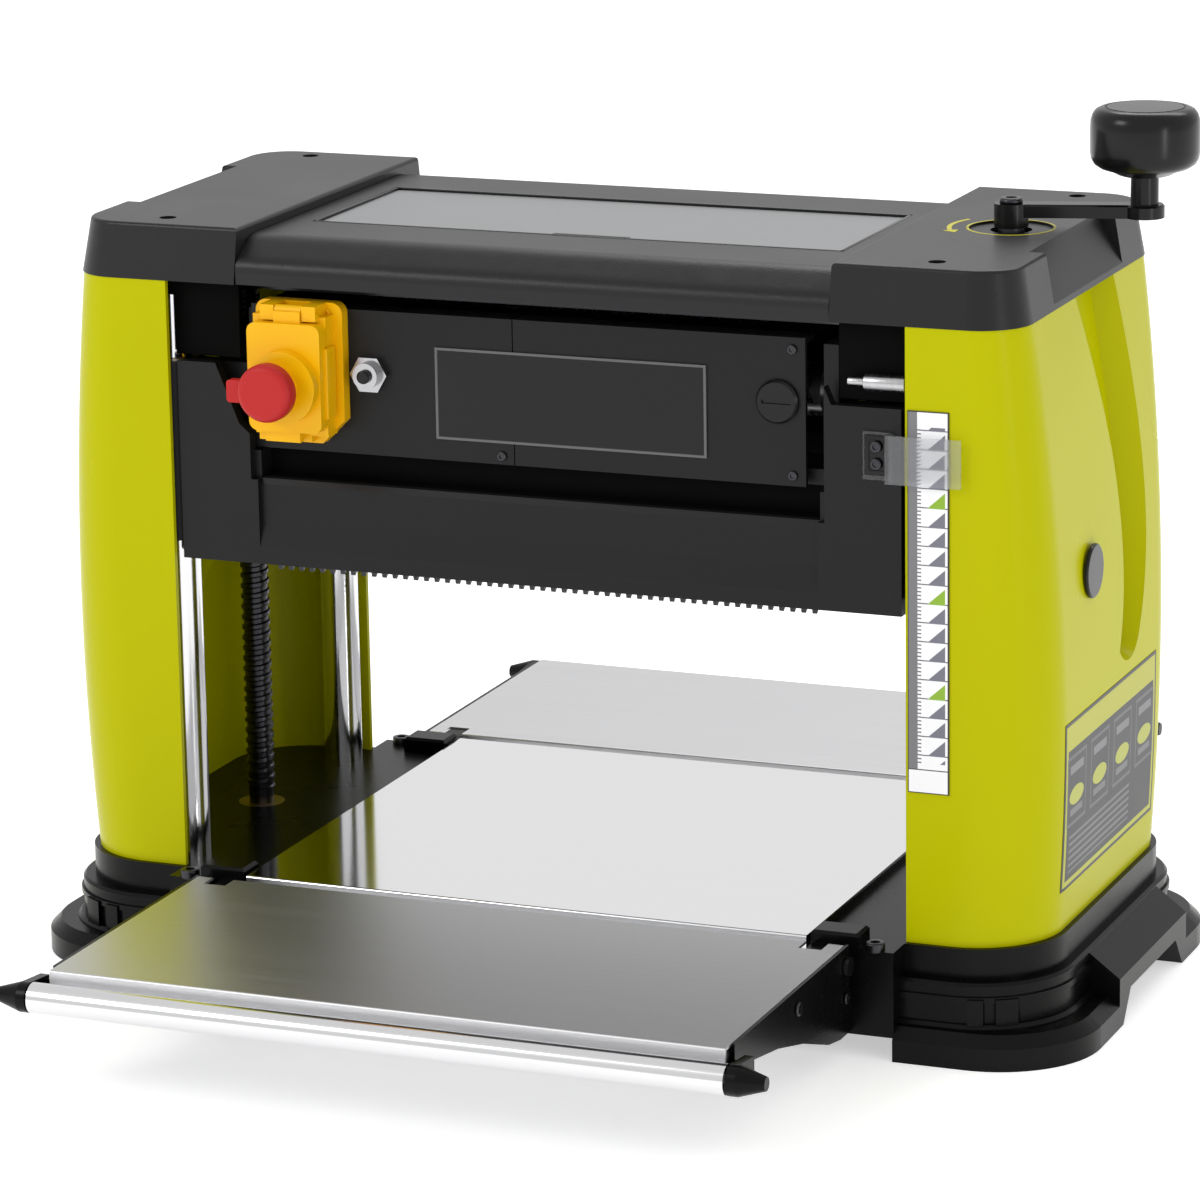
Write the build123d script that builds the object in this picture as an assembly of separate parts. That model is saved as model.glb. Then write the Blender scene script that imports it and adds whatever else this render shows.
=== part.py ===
"""Benchtop thickness planer: a cutting head that rides on four posts between two side columns.

Frame: origin on the bench, midway between the four bench bolts; +X right, +Y the way the board
is fed, +Z up. All sizes are in millimetres. The head is modelled raised, near the top of its travel.
"""
from build123d import *
from math import atan2, cos, degrees, pi, radians, sin
import os

# ---- overall sizes ----
BED_WIDTH = 320.0           # board bed, left to right
BED_DEPTH = 290.0           # board bed, front to rear
BED_TOP = 63.0              # height of the board surface over the bench
COLUMN_GAP = 47.0           # from the bed's edge to the inner edge of a side column
COLUMN_TOP = 381.7          # height at which the top caps sit on the side panels
TABLE_LENGTH = 173.0        # folding table's sheet, front to rear
TABLE_OVERHANG = 24.0       # how far a table sheet is wider than the bed, on each side
FIT = 0.05                  # radial clearance of a turning or sliding fit
CLEAR = 0.4                 # clearance between plain faces that pass each other

# ---- side columns ----
COLUMN_X = BED_WIDTH / 2 + COLUMN_GAP
PANEL_FOOT_REACH = 70.0     # panel's width at its foot, middle and top
PANEL_MID_REACH = 72.5
PANEL_TOP_REACH = 58.5
PANEL_HALF_DEPTH = 123.0
PANEL_WALL = 3.0
PANEL_FOOT_Z = BED_TOP - 5.0
PANEL_MID_Z = (PANEL_FOOT_Z + COLUMN_TOP) / 2
PANEL_FOOT_CORNER = 46.0
PANEL_TOP_CORNER = 27.0
SCOOP_DEPTH = 12.0          # hand scoop in a panel's outer face
SCOOP_FOOT = 202.0          # how far the scoop's tip lies below the column's top
CAP_HEIGHT = 29.3
CAP_OVERLAP = 40.6          # how far a cap reaches in from the column's inner edge
CAP_REACH = 59.0
CAP_TOP_REACH = 54.0
CAP_WALL = 3.0
RECESS_DEPTH = 10.0         # hand recess in a cap's outer edge
RECESS_HALF = 60.0

# ---- base ----
FOOT_REACH = 95.0           # column's inner edge to the outer edge of the foot flange
FOOT_HALF_DEPTH = 146.0
FOOT_CORNER = 56.0
FLANGE_TOP = 18.0
STEP_Z = 42.0               # step between the skirt's lower and upper wall
BEAD_Z = 32.0               # raised bead round the skirt's lower wall
LOWER_WALL_OUT = 8.0        # how far each wall stands out from the panel's foot
UPPER_WALL_OUT = 3.0
ARCH_HEIGHT = 17.0
ARCH_FRONT = -50.0
ARCH_REAR = 62.0
BASE_UNDERSIDE = 12.0
BASE_FACE_Y = BED_DEPTH / 2 - 1.5
DECK_Z = BED_TOP - 5.0
SKIN = 6.0                  # thickness of cast walls and ribs
BOLT_X = COLUMN_X + 15.0    # bench bolt holes, tapped from below
BOLT_Y = 130.0
BOLT_RADIUS = 3.4
BOLT_DEPTH = 16.0

# ---- bed and folding tables ----
SHEET = 1.5
TABLE_GAP = 8.0             # bed's edge to the table sheet's near edge
HINGE_Y = BED_DEPTH / 2 + TABLE_GAP + 4.0
HINGE_Z = BED_TOP - 10.0
HINGE_PIN_RADIUS = 3.0
LUG_RADIUS = 7.0
LUG_IN = BED_WIDTH / 2 + 4.0
LUG_THICK = 10.5
RAIL_IN = LUG_IN + LUG_THICK + 1.5
RAIL_THICK = 8.0
TABLE_X = BED_WIDTH / 2 + TABLE_OVERHANG
RAIL_OUT = TABLE_X + 2.0
TABLE_END_Y = BED_DEPTH / 2 + TABLE_GAP + TABLE_LENGTH
END_ROLLER_RADIUS = 8.0
END_ROLLER_Y = TABLE_END_Y + END_ROLLER_RADIUS + 1.5
END_ROLLER_Z = BED_TOP - 12.0
END_ROLLER_HALF = RAIL_OUT + 3.0
AXLE_RADIUS = 3.0

# ---- guide posts and lifting screws ----
POST_X = COLUMN_X + 8.0
POST_Y = 100.0
POST_RADIUS = 11.0
POST_FOOT = 24.0
SCREW_X = COLUMN_X + 15.0
SCREW_Y = 4.0
SCREW_RADIUS = 8.0
SCREW_PITCH = 6.0
THREAD_DEPTH = 1.2
SCREW_JOURNAL = SCREW_RADIUS - 1.0
BEARING_RADIUS = SCREW_JOURNAL + 6.0
NUT_RADIUS = SCREW_RADIUS + 3.0
BEARING_LENGTH = 10.0
SPROCKET_RADIUS = SCREW_JOURNAL + 5.6
SPROCKET_TEETH = 15
CHAIN_Z = 5.0
CHAIN_HEIGHT = 5.0
CHAIN_THICK = 3.0
HEAD_PLATE_THICK = 8.0      # plate that ties a column's posts together at the top
HEAD_PLATE_Z = COLUMN_TOP - 1.7 - HEAD_PLATE_THICK
CRANK_LENGTH = 69.0
CRANK_ANGLE = 14.5
CRANK_HUB_RADIUS = SCREW_JOURNAL + 2.0
CRANK_Z = COLUMN_TOP + CAP_HEIGHT + 0.6
CRANK_ARM_Z = CRANK_Z + 5.4
CRANK_ARM_THICK = 7.0
KNOB_RADIUS = 28.5
KNOB_STEM_TOP = CRANK_ARM_Z + CRANK_ARM_THICK + 15.0
KNOB_HEIGHT = 36.0
SPINDLE_RADIUS = 4.0

# ---- cutting head ----
HEAD_BOTTOM = COLUMN_TOP - 151.7
HEAD_X = BED_WIDTH / 2 - 2.0        # inner face of a head end plate
END_PLATE = 8.0
APRON_Y = 119.0
APRON_THICK = 7.0
APRON_INSET = 3.5           # how far the apron's upper face lies behind the post flanges
APRON_TOP = HEAD_BOTTOM + 46.0
FLANGE_X = COLUMN_X - 3.5
FLANGE_IN = HEAD_X + 4.0    # inner edge of a post flange, above the apron
FLANGE_HEIGHT = 108.0
HOUSING_TOP = COLUMN_TOP - 12.0
BUSH_RADIUS = POST_RADIUS + 2.5
SLEEVE_RADIUS = BUSH_RADIUS + 3.5
SLEEVE_HEIGHT = 98.0
CUTTER_Y = 5.0
CUTTER_RADIUS = 22.5
KNIFE_CIRCLE = 24.0
CUTTER_Z = HEAD_BOTTOM - 3.0 + KNIFE_CIRCLE
CUTTER_BEARING_RADIUS = 16.0
CUTTER_JOURNAL = 9.0
ROLLER_RADIUS = 20.0
ROLLER_SPREAD = 53.0
ROLLER_JOURNAL = 8.0
ROLLER_BLOCK_RADIUS = 12.0
ROLLER_Z = HEAD_BOTTOM - 4.0 + ROLLER_RADIUS
MOTOR_Y = -66.0
MOTOR_Z = HEAD_BOTTOM + 104.0
MOTOR_RADIUS = 36.0
MOTOR_JOURNAL = 6.0
MOTOR_BEARING_RADIUS = 12.0
MOTOR_PULLEY_RADIUS = 14.0
CUTTER_PULLEY_RADIUS = 22.4
PULLEY_WIDTH = 14.0
BELT_THICK = 2.4
ARMATURE_RADIUS = 24.0
CHAIN_SPROCKET_RADIUS = 16.0
PAWL_Y = -106.0
PAWL_ROD_RADIUS = 2.5
PAWL_Z = HEAD_BOTTOM + 6.5
PAWL_THICK = 2.6
PAWL_COUNT = 51
PAWL_SPAN = 304.0
PANEL_Y = 110.0             # front and rear housing covers
COVER_SHEET = 3.0
COVER_FOOT = HEAD_BOTTOM + 62.0
SEAM_X = -13.0
HOOD_HALF = 95.0
HOOD_DEPTH = 36.0
HOOD_WALL = 2.5
HOOD_LOW = HEAD_BOTTOM + 52.0
HOOD_TOP = HEAD_BOTTOM + 132.0
PORT_RADIUS = 30.0
PORT_LENGTH = 34.0

# ---- switch, breaker and other fittings on the head ----
SWITCH_X = -132.0
SWITCH_HALF = 25.0
SWITCH_LOW = HEAD_BOTTOM + 68.0
SWITCH_TOP = HEAD_BOTTOM + 144.0
SWITCH_DEPTH = 17.0
LID_THICK = 8.0
LID_LOW = SWITCH_LOW + 9.0
STOP_X = SWITCH_X - 2.0
COLLAR_LENGTH = 11.0        # guide collar of the stop mushroom, in front of the lid
STOP_Z = HEAD_BOTTOM + 102.0
STOP_RADIUS = 15.5
STOP_TRAVEL = 4.0
PUSH_RADIUS = 7.0
PUSH_TRAVEL = 3.0
BREAKER_X = -94.0
FITTING_Z = HEAD_BOTTOM + 106.0
BREAKER_RADIUS = 7.0
RESET_RADIUS = 3.6
RESET_TRAVEL = 3.0
BRUSH_X = 134.0
BRUSH_RADIUS = 11.5
SCALE_LOW = BED_TOP + 76.0
SCALE_TOP = COLUMN_TOP - 42.7
SCALE_WIDTH = 22.0
SCALE_THICK = 0.8
POINTER_LOW = HEAD_BOTTOM + 71.0
POINTER_HEIGHT = 25.0
POINTER_THICK = 1.6
PLUG_RADIUS = 14.4
PLUG_Y = -37.0
PLUG_RISE = 21.2            # centre of the round side plug above the panel's middle height


# ---- helpers ----
def block(x0, x1, y0, y1, z0, z1):
    """Box between two opposite corners."""
    place = Pos((x0 + x1) / 2, (y0 + y1) / 2, (z0 + z1) / 2)
    return place * Box(abs(x1 - x0), abs(y1 - y0), abs(z1 - z0))


def round_x(radius, x0, x1, y, z):
    """Cylinder lying along X."""
    return Pos((x0 + x1) / 2, y, z) * Rot(0, 90, 0) * Cylinder(radius, abs(x1 - x0))


def round_y(radius, x, y0, y1, z):
    """Cylinder lying along Y."""
    return Pos(x, (y0 + y1) / 2, z) * Rot(90, 0, 0) * Cylinder(radius, abs(y1 - y0))


def round_z(radius, x, y, z0, z1):
    """Upright cylinder."""
    return Pos(x, y, (z0 + z1) / 2) * Cylinder(radius, abs(z1 - z0))


def yz_plate(points, x0, x1):
    """Plate whose outline is given in Y and Z, between two X planes."""
    face = make_face(Polyline(*points, close=True))
    return extrude(Plane.YZ.offset(x0) * face, amount=x1 - x0)


def xz_plate(points, y0, y1):
    """Plate whose outline is given in X and Z, between two Y planes."""
    face = make_face(Polyline(*points, close=True))
    plane = Plane(origin=(0, y1, 0), x_dir=(1, 0, 0), z_dir=(0, -1, 0))
    return extrude(plane * face, amount=y1 - y0)


def left_of(shape):
    """The same shape on the left-hand side."""
    return mirror(shape, about=Plane.YZ)


def rear_of(shape):
    """The same shape at the rear."""
    return mirror(shape, about=Plane.XZ)


def group(*shapes):
    """Several separate solids as one named part."""
    solids = []
    for shape in shapes:
        solids.extend(shape.solids())
    return Compound(solids)


def column_outline(z, inner, reach, half_depth, corner):
    """Plan outline of the right-hand column at one height, with two rounded outer corners."""
    outer = COLUMN_X + reach
    face = Pos((inner + outer) / 2, 0, z) * Rectangle(outer - inner, 2 * half_depth)
    return fillet(face.vertices().group_by(Axis.X)[-1], corner)


def outer_top_edges(body):
    """Edges round a column piece's top, without the one on the column's inner plane."""
    edges = body.faces().sort_by(Axis.Z)[-1].edges()
    return edges.filter_by(lambda edge: edge.center().X > COLUMN_X + 1)


# ---- base ----
def foot_pocket(sx, sy):
    """Hollow in one corner of a foot, outboard of the post and inside the skirt's wall."""
    room = extrude(
        column_outline(
            -1, COLUMN_X, PANEL_FOOT_REACH + UPPER_WALL_OUT - SKIN, PANEL_HALF_DEPTH + 3 - SKIN, 48 - SKIN
        ),
        DECK_Z - SKIN + 1,
    )
    room = room & block(
        POST_X + POST_RADIUS + SKIN, COLUMN_X + FOOT_REACH, ARCH_REAR + SKIN, FOOT_HALF_DEPTH,
        -1, DECK_Z - SKIN,
    )
    room = room if sy > 0 else rear_of(room)
    return room if sx > 0 else left_of(room)


def base_casting():
    """One cast base: a pocketed centre between two skirted feet with an arch in each."""
    foot = PANEL_FOOT_REACH
    flange = extrude(column_outline(0, COLUMN_X, FOOT_REACH, FOOT_HALF_DEPTH, FOOT_CORNER), FLANGE_TOP)
    flange = chamfer(outer_top_edges(flange), 6.0)
    lower = extrude(
        column_outline(FLANGE_TOP - 8, COLUMN_X, foot + LOWER_WALL_OUT, PANEL_HALF_DEPTH + 11, 52),
        STEP_Z - FLANGE_TOP + 8,
    )
    lower = chamfer(outer_top_edges(lower), 1.5)
    upper = extrude(
        column_outline(STEP_Z - 4, COLUMN_X, foot + UPPER_WALL_OUT, PANEL_HALF_DEPTH + 3, 48),
        PANEL_FOOT_Z - STEP_Z + 4,
    )
    rib = xz_plate(
        [
            (COLUMN_X + foot, STEP_Z - 2),
            (COLUMN_X + foot + LOWER_WALL_OUT, STEP_Z - 2),
            (COLUMN_X + FOOT_REACH, ARCH_HEIGHT + 10),
            (COLUMN_X + FOOT_REACH, ARCH_HEIGHT - 5),
            (COLUMN_X + foot, ARCH_HEIGHT - 5),
        ],
        ARCH_FRONT - 6,
        ARCH_REAR + 6,
    )
    bead = extrude(
        column_outline(BEAD_Z, COLUMN_X, foot + LOWER_WALL_OUT + 1.2, PANEL_HALF_DEPTH + 12.2, 53), 3.0
    )
    low_bead = extrude(
        column_outline(FLANGE_TOP - 2, COLUMN_X, foot + LOWER_WALL_OUT + 3, PANEL_HALF_DEPTH + 14, 53), 4.5
    )
    low_bead = chamfer(outer_top_edges(low_bead), 1.8)
    pad_skin = extrude(
        column_outline(FLANGE_TOP - 2, COLUMN_X, foot + LOWER_WALL_OUT + 2.4, PANEL_HALF_DEPTH + 13.4, 54),
        BEAD_Z - FLANGE_TOP + 4,
    )
    pads = block(COLUMN_X + 37, COLUMN_X + 45, -FOOT_HALF_DEPTH, -90, FLANGE_TOP - 2, BEAD_Z + 2)
    pads += block(COLUMN_X + 51, COLUMN_X + 61, -FOOT_HALF_DEPTH, -90, FLANGE_TOP - 2, BEAD_Z + 2)
    pads = pads & pad_skin
    side = flange + lower + upper + rib + bead + low_bead + pads + rear_of(pads)
    side -= yz_plate(
        [
            (ARCH_FRONT, -1),
            (ARCH_FRONT + 14, ARCH_HEIGHT),
            (ARCH_REAR - 14, ARCH_HEIGHT),
            (ARCH_REAR, -1),
        ],
        COLUMN_X - 1,
        COLUMN_X + FOOT_REACH + 1,
    )
    # front hinge lug and the corner block beside the bed, repeated at the rear
    lug = round_x(LUG_RADIUS, LUG_IN, LUG_IN + LUG_THICK, -HINGE_Y, HINGE_Z)
    lug += block(LUG_IN, LUG_IN + LUG_THICK, -HINGE_Y, -BASE_FACE_Y + 4, HINGE_Z - 7, HINGE_Z + 7)
    corner = block(
        BED_WIDTH / 2 + 2, RAIL_OUT + 2, -BASE_FACE_Y, -BASE_FACE_Y + 18, DECK_Z - 4, BED_TOP + 3
    )
    corner = chamfer(corner.faces().sort_by(Axis.Z)[-1].edges(), 1.5)
    fittings = lug + corner
    side += fittings + rear_of(fittings)
    side -= round_x(HINGE_PIN_RADIUS, LUG_IN - 1, RAIL_IN, -HINGE_Y, HINGE_Z)
    side -= round_x(HINGE_PIN_RADIUS, LUG_IN - 1, RAIL_IN, HINGE_Y, HINGE_Z)

    centre = block(
        -COLUMN_X, COLUMN_X, -BASE_FACE_Y, BASE_FACE_Y, BASE_UNDERSIDE, DECK_Z
    )
    bed_seat = block(
        -BED_WIDTH / 2, BED_WIDTH / 2, -BASE_FACE_Y, BASE_FACE_Y, DECK_Z, BED_TOP - SHEET
    )
    casting = centre + bed_seat + side + left_of(side)

    # ribbed underside of the centre
    columns, rows = 7, 5
    cell_x = 2 * (COLUMN_X - SKIN) / columns
    cell_y = 2 * (BASE_FACE_Y - SKIN) / rows
    for i in range(columns):
        for j in range(rows):
            x = -COLUMN_X + SKIN + (i + 0.5) * cell_x
            y = -BASE_FACE_Y + SKIN + (j + 0.5) * cell_y
            half_x, half_y = (cell_x - SKIN) / 2, (cell_y - SKIN) / 2
            casting -= block(
                x - half_x, x + half_x, y - half_y, y + half_y, BASE_UNDERSIDE - 1, DECK_Z - SKIN
            )
    # pockets in the feet, outboard of the posts
    for sx in (-1, 1):
        for sy in (-1, 1):
            casting -= foot_pocket(sx, sy)
            casting -= round_z(POST_RADIUS, sx * POST_X, sy * POST_Y, POST_FOOT, DECK_Z + 1)
            casting -= round_z(BOLT_RADIUS, sx * BOLT_X, sy * BOLT_Y, -1, BOLT_DEPTH)
        casting -= round_z(SCREW_RADIUS + 1.5, sx * SCREW_X, SCREW_Y, -1, DECK_Z + 1)
        casting -= round_z(
            BEARING_RADIUS, sx * SCREW_X, SCREW_Y, DECK_Z - BEARING_LENGTH, DECK_Z + 1
        )
    return casting


def bed_plate():
    """Folded stainless sheet over the base's centre."""
    half_x, half_y = BED_WIDTH / 2, BED_DEPTH / 2
    sheet = block(-half_x, half_x, -half_y, half_y, BED_TOP - SHEET, BED_TOP)
    lip = block(-half_x, half_x, -half_y, -BASE_FACE_Y, BED_TOP - 15, BED_TOP - SHEET)
    plate = sheet + lip + rear_of(lip)
    return fillet(plate.edges().filter_by(Axis.X).group_by(Axis.Z)[-1], 1.2)


# ---- columns ----
def guide_posts():
    """Four ground steel posts that the head slides on."""
    posts = []
    for sx in (-1, 1):
        for sy in (-1, 1):
            posts.append(
                round_z(POST_RADIUS, sx * POST_X, sy * POST_Y, POST_FOOT, HEAD_PLATE_Z + HEAD_PLATE_THICK)
            )
    return group(*posts)


def column_heads():
    """Plates that tie each pair of posts and hold the screws' upper bearings."""
    inner, outer = COLUMN_X - 8, COLUMN_X + 43
    plate = block(inner, outer, -112, 112, HEAD_PLATE_Z, HEAD_PLATE_Z + HEAD_PLATE_THICK)
    plate = chamfer(plate.edges().filter_by(Axis.Z).group_by(Axis.X)[-1], 14)
    for sy in (-1, 1):
        plate -= round_z(POST_RADIUS, POST_X, sy * POST_Y, HEAD_PLATE_Z - 1, COLUMN_TOP)
    plate -= round_z(BEARING_RADIUS, SCREW_X, SCREW_Y, HEAD_PLATE_Z - 1, COLUMN_TOP)
    return group(plate, left_of(plate))


def cross_rails():
    """Two bars that join the columns under the top cover."""
    top = HEAD_PLATE_Z + HEAD_PLATE_THICK
    rail = block(-COLUMN_X + 8, COLUMN_X - 8, 76, 92, top - 6, top)
    return group(rail, rear_of(rail))


def scoop_outline(grow):
    """Outline of the hand scoop in Y and Z, widened all round by grow."""
    tip = COLUMN_TOP - SCOOP_FOOT - PANEL_MID_Z
    high = COLUMN_TOP + 10 - PANEL_MID_Z
    front = [
        (10 - grow, tip + 6), (19 - grow, tip + 34), (20 - grow, tip + 75),
        (11 - grow, tip + 118), (-6 - grow, tip + 162), (-28 - grow, high),
    ]
    rear = [
        (42 + grow, high), (54 + grow, tip + 158), (63 + grow, tip + 105),
        (62 + grow, tip + 45), (48 + grow, tip + 8),
    ]
    tip_arc = ThreePointArc(rear[-1], (29, tip - 4 - grow), front[0])
    return make_face(Spline(*front) + Line(front[-1], rear[0]) + Spline(*rear) + tip_arc)


def scoop(grow, depth):
    """Horn-shaped hand scoop on the right panel; grow widens it for the wall behind it."""
    lean = degrees(atan2(PANEL_MID_REACH - PANEL_TOP_REACH, COLUMN_TOP - PANEL_MID_Z))
    tilt = radians(lean)
    plane = Plane(
        origin=(COLUMN_X + PANEL_MID_REACH, 0, PANEL_MID_Z),
        x_dir=(0, 1, 0),
        z_dir=(cos(tilt), 0, sin(tilt)),
    )
    mouth = plane.offset(5) * scoop_outline(grow + 2)
    floor = plane.offset(-depth) * scoop_outline(grow - 6)
    return loft([floor, mouth])


def panel_body(inset, inner):
    """Barrel-shaped body of the right side panel, or its inside when inset is the wall."""
    foot_z = PANEL_FOOT_Z if inset == 0 else PANEL_FOOT_Z - 1
    top_z = COLUMN_TOP if inset == 0 else COLUMN_TOP + 1
    half = PANEL_HALF_DEPTH - inset
    return loft(
        [
            column_outline(foot_z, inner, PANEL_FOOT_REACH - inset, half, PANEL_FOOT_CORNER - inset),
            column_outline(PANEL_MID_Z, inner, PANEL_MID_REACH - inset, half, 38 - inset),
            column_outline(top_z, inner, PANEL_TOP_REACH - inset, half, PANEL_TOP_CORNER - inset),
        ]
    )


def side_panel():
    """Right side panel: a shell open towards the head, with a hand scoop outside."""
    outer = panel_body(0, COLUMN_X)
    shell = outer - panel_body(PANEL_WALL, COLUMN_X - 5)
    backing = scoop(PANEL_WALL, SCOOP_DEPTH + PANEL_WALL) & outer
    shell = shell + backing - scoop(0, SCOOP_DEPTH)
    x = COLUMN_X + PANEL_MID_REACH
    return shell - round_x(9.0, x - 10, x + 5, PLUG_Y, PANEL_MID_Z + PLUG_RISE)


def side_plug():
    """Round black plug that closes the hole in the right side panel."""
    x = COLUMN_X + PANEL_MID_REACH
    z = PANEL_MID_Z + PLUG_RISE
    head = round_x(PLUG_RADIUS, x + 0.15, x + 2.2, PLUG_Y, z)
    head = fillet(head.edges().group_by(Axis.X)[-1], 1.2)
    return head + round_x(8.6, x - 5, x + 1, PLUG_Y, z)


def cap(with_crank_hole):
    """Top cap of the right column."""
    z0, z1 = COLUMN_TOP, COLUMN_TOP + CAP_HEIGHT
    inner = COLUMN_X - CAP_OVERLAP
    outer = loft(
        [
            column_outline(z0, inner, CAP_REACH, PANEL_HALF_DEPTH + 0.5, PANEL_TOP_CORNER),
            column_outline(z1, inner, CAP_TOP_REACH, PANEL_HALF_DEPTH - 5, PANEL_TOP_CORNER - 4),
        ]
    )
    outer = fillet(outer.faces().sort_by(Axis.Z)[-1].edges(), 2.0)
    edge = COLUMN_X + CAP_REACH

    def recess(grow):
        deep = edge - RECESS_DEPTH - 4 - grow
        return xz_plate(
            [(edge - grow, z0 + 2), (deep, z1 - grow), (deep, z1 + 1), (edge + 5, z1 + 1), (edge + 5, z0 + 2)],
            -RECESS_HALF - grow,
            RECESS_HALF + grow,
        )

    inside = loft(
        [
            column_outline(z0 - 1, inner + CAP_WALL, CAP_REACH - CAP_WALL, PANEL_HALF_DEPTH - 2.5, 24),
            column_outline(
                z1 - CAP_WALL, inner + CAP_WALL, CAP_TOP_REACH - CAP_WALL, PANEL_HALF_DEPTH - 8, 20
            ),
        ]
    )
    shell = outer - (inside - recess(CAP_WALL)) - recess(0)
    for y, x in ((-99.0, COLUMN_X + 9), (104.0, COLUMN_X + 20)):
        shell += round_z(7.0, x, y, HEAD_PLATE_Z + HEAD_PLATE_THICK, z1 - CAP_WALL + 0.5)
        shell -= round_z(2.5, x, y, HEAD_PLATE_Z, z1 + 1)
        shell -= round_z(4.6, x, y, z1 - 6, z1 + 1)
    if with_crank_hole:
        shell -= round_z(SCREW_RADIUS + 3, SCREW_X, SCREW_Y, z0 - 1, z1 + 1)
        shell -= round_z(22.0, SCREW_X, SCREW_Y, z1 - 1.2, z1 + 1)
    return shell


def cap_screws():
    """Pan-head screws that hold the caps to the column heads."""
    top = COLUMN_TOP + CAP_HEIGHT
    screws = []
    for y, x in ((-99.0, COLUMN_X + 9), (104.0, COLUMN_X + 20)):
        screw = round_z(4.2, x, y, top - 6, top - 3.2) + round_z(2.3, x, y, HEAD_PLATE_Z + 8.2, top - 5.5)
        screws += [screw, left_of(screw)]
    return group(*screws)


def top_cover():
    """Bull-nosed cover between the caps, with a shallow tool tray."""
    z0, z1 = COLUMN_TOP, COLUMN_TOP + 23.5
    half = COLUMN_X - CAP_OVERLAP - CLEAR

    def section(inset, foot):
        front, rear, top = -122 + inset, 106 - inset, z1 - inset
        return make_face(
            Polyline((front, foot), (front, z0 + 6))
            + Spline((front, z0 + 6), (front + 9, z0 + 17), (front + 26, top), tangents=[(0, 1), (1, 0)])
            + Polyline((front + 26, top), (rear - 14, top))
            + ThreePointArc((rear - 14, top), (rear - 4, top - 4), (rear, top - 14))
            + Polyline((rear, top - 14), (rear, foot), (front, foot))
        )

    plane = Plane.YZ.offset(-half)
    cover = extrude(plane * section(0, z0), amount=2 * half)
    cover -= extrude(Plane.YZ.offset(-half - 1) * section(3.0, z0 - 1), amount=2 * half + 2)
    cover += block(-half + 12, half - 12, -64, 60, z1 - 7.5, z1 - 3)
    cover -= block(-half + 15, half - 15, -57, 54, z1 - 3.5, z1 + 1)
    for sx in (-1, 1):
        for y in (-84, 84):
            cover += round_z(6.0, sx * half * 0.7, y, HEAD_PLATE_Z + HEAD_PLATE_THICK, z1 - 2.5)
    return cover


def top_tray():
    """Satin metal plate that lines the tool tray."""
    z1 = COLUMN_TOP + 23.5
    half = COLUMN_X - CAP_OVERLAP - CLEAR - 16
    plate = block(-half, half, -56, 53, z1 - 3.5, z1 - 1.2)
    return fillet(plate.edges().filter_by(Axis.Z), 4)


def scale_strip():
    """Height scale on the right panel's front."""
    strip = block(
        COLUMN_X + 1.5, COLUMN_X + 1.5 + SCALE_WIDTH,
        -PANEL_HALF_DEPTH - SCALE_THICK, -PANEL_HALF_DEPTH, SCALE_LOW, SCALE_TOP,
    )
    return strip


# ---- lifting screws and crank ----
def screw_bearings():
    """Flanged bearings at the foot and the head of each screw."""
    bearings = []
    for sx in (-1, 1):
        for z in (DECK_Z - BEARING_LENGTH, HEAD_PLATE_Z - 2):
            ring = round_z(BEARING_RADIUS, sx * SCREW_X, SCREW_Y, z, z + BEARING_LENGTH)
            ring -= round_z(SCREW_JOURNAL + FIT, sx * SCREW_X, SCREW_Y, z - 1, z + BEARING_LENGTH + 1)
            bearings.append(ring)
    return group(*bearings)


def lead_screw(x, top):
    """Lifting screw: trapezoid grooves between two plain journals."""
    low, high = DECK_Z + 1.5, HEAD_PLATE_Z - 4
    journal, crest, root = SCREW_JOURNAL, SCREW_RADIUS, SCREW_RADIUS - THREAD_DEPTH
    outline = [(0, CHAIN_Z - 2), (journal, CHAIN_Z - 2), (journal, low), (crest, low)]
    z = low + SCREW_PITCH
    while z + SCREW_PITCH < high:
        outline += [(crest, z), (root, z + 1.2), (root, z + 2.6), (crest, z + 3.8)]
        z += SCREW_PITCH
    outline += [(crest, high), (journal, high), (journal, top), (0, top)]
    face = make_face(Polyline(*outline, close=True))
    return Pos(x, SCREW_Y, 0) * revolve(Plane.XZ * face, Axis.Z)


def sprocket(x):
    """Chain sprocket at the foot of a screw."""
    wheel = round_z(SPROCKET_RADIUS, x, SCREW_Y, CHAIN_Z, CHAIN_Z + CHAIN_HEIGHT)
    for i in range(SPROCKET_TEETH):
        angle = 2 * pi * i / SPROCKET_TEETH
        reach = SPROCKET_RADIUS + 0.6
        wheel -= round_z(
            1.6, x + reach * cos(angle), SCREW_Y + reach * sin(angle), CHAIN_Z - 1, CHAIN_Z + CHAIN_HEIGHT + 1
        )
    return wheel - round_z(SCREW_JOURNAL, x, SCREW_Y, CHAIN_Z - 1, CHAIN_Z + CHAIN_HEIGHT + 1)


def sync_chain():
    """Chain loop that turns both screws together, as one band of its pitch line."""
    inner = SPROCKET_RADIUS + CLEAR

    def loop(radius):
        straight = Rectangle(2 * SCREW_X, 2 * radius)
        return straight + Pos(SCREW_X, 0) * Circle(radius) + Pos(-SCREW_X, 0) * Circle(radius)

    band = extrude(Pos(0, SCREW_Y, CHAIN_Z) * (loop(inner + CHAIN_THICK) - loop(inner)), CHAIN_HEIGHT)
    return band


def crank_place():
    """Frame at the right screw's axis, turned to the crank's rest angle."""
    return Pos(SCREW_X, SCREW_Y, 0) * Rot(0, 0, CRANK_ANGLE)


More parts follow.
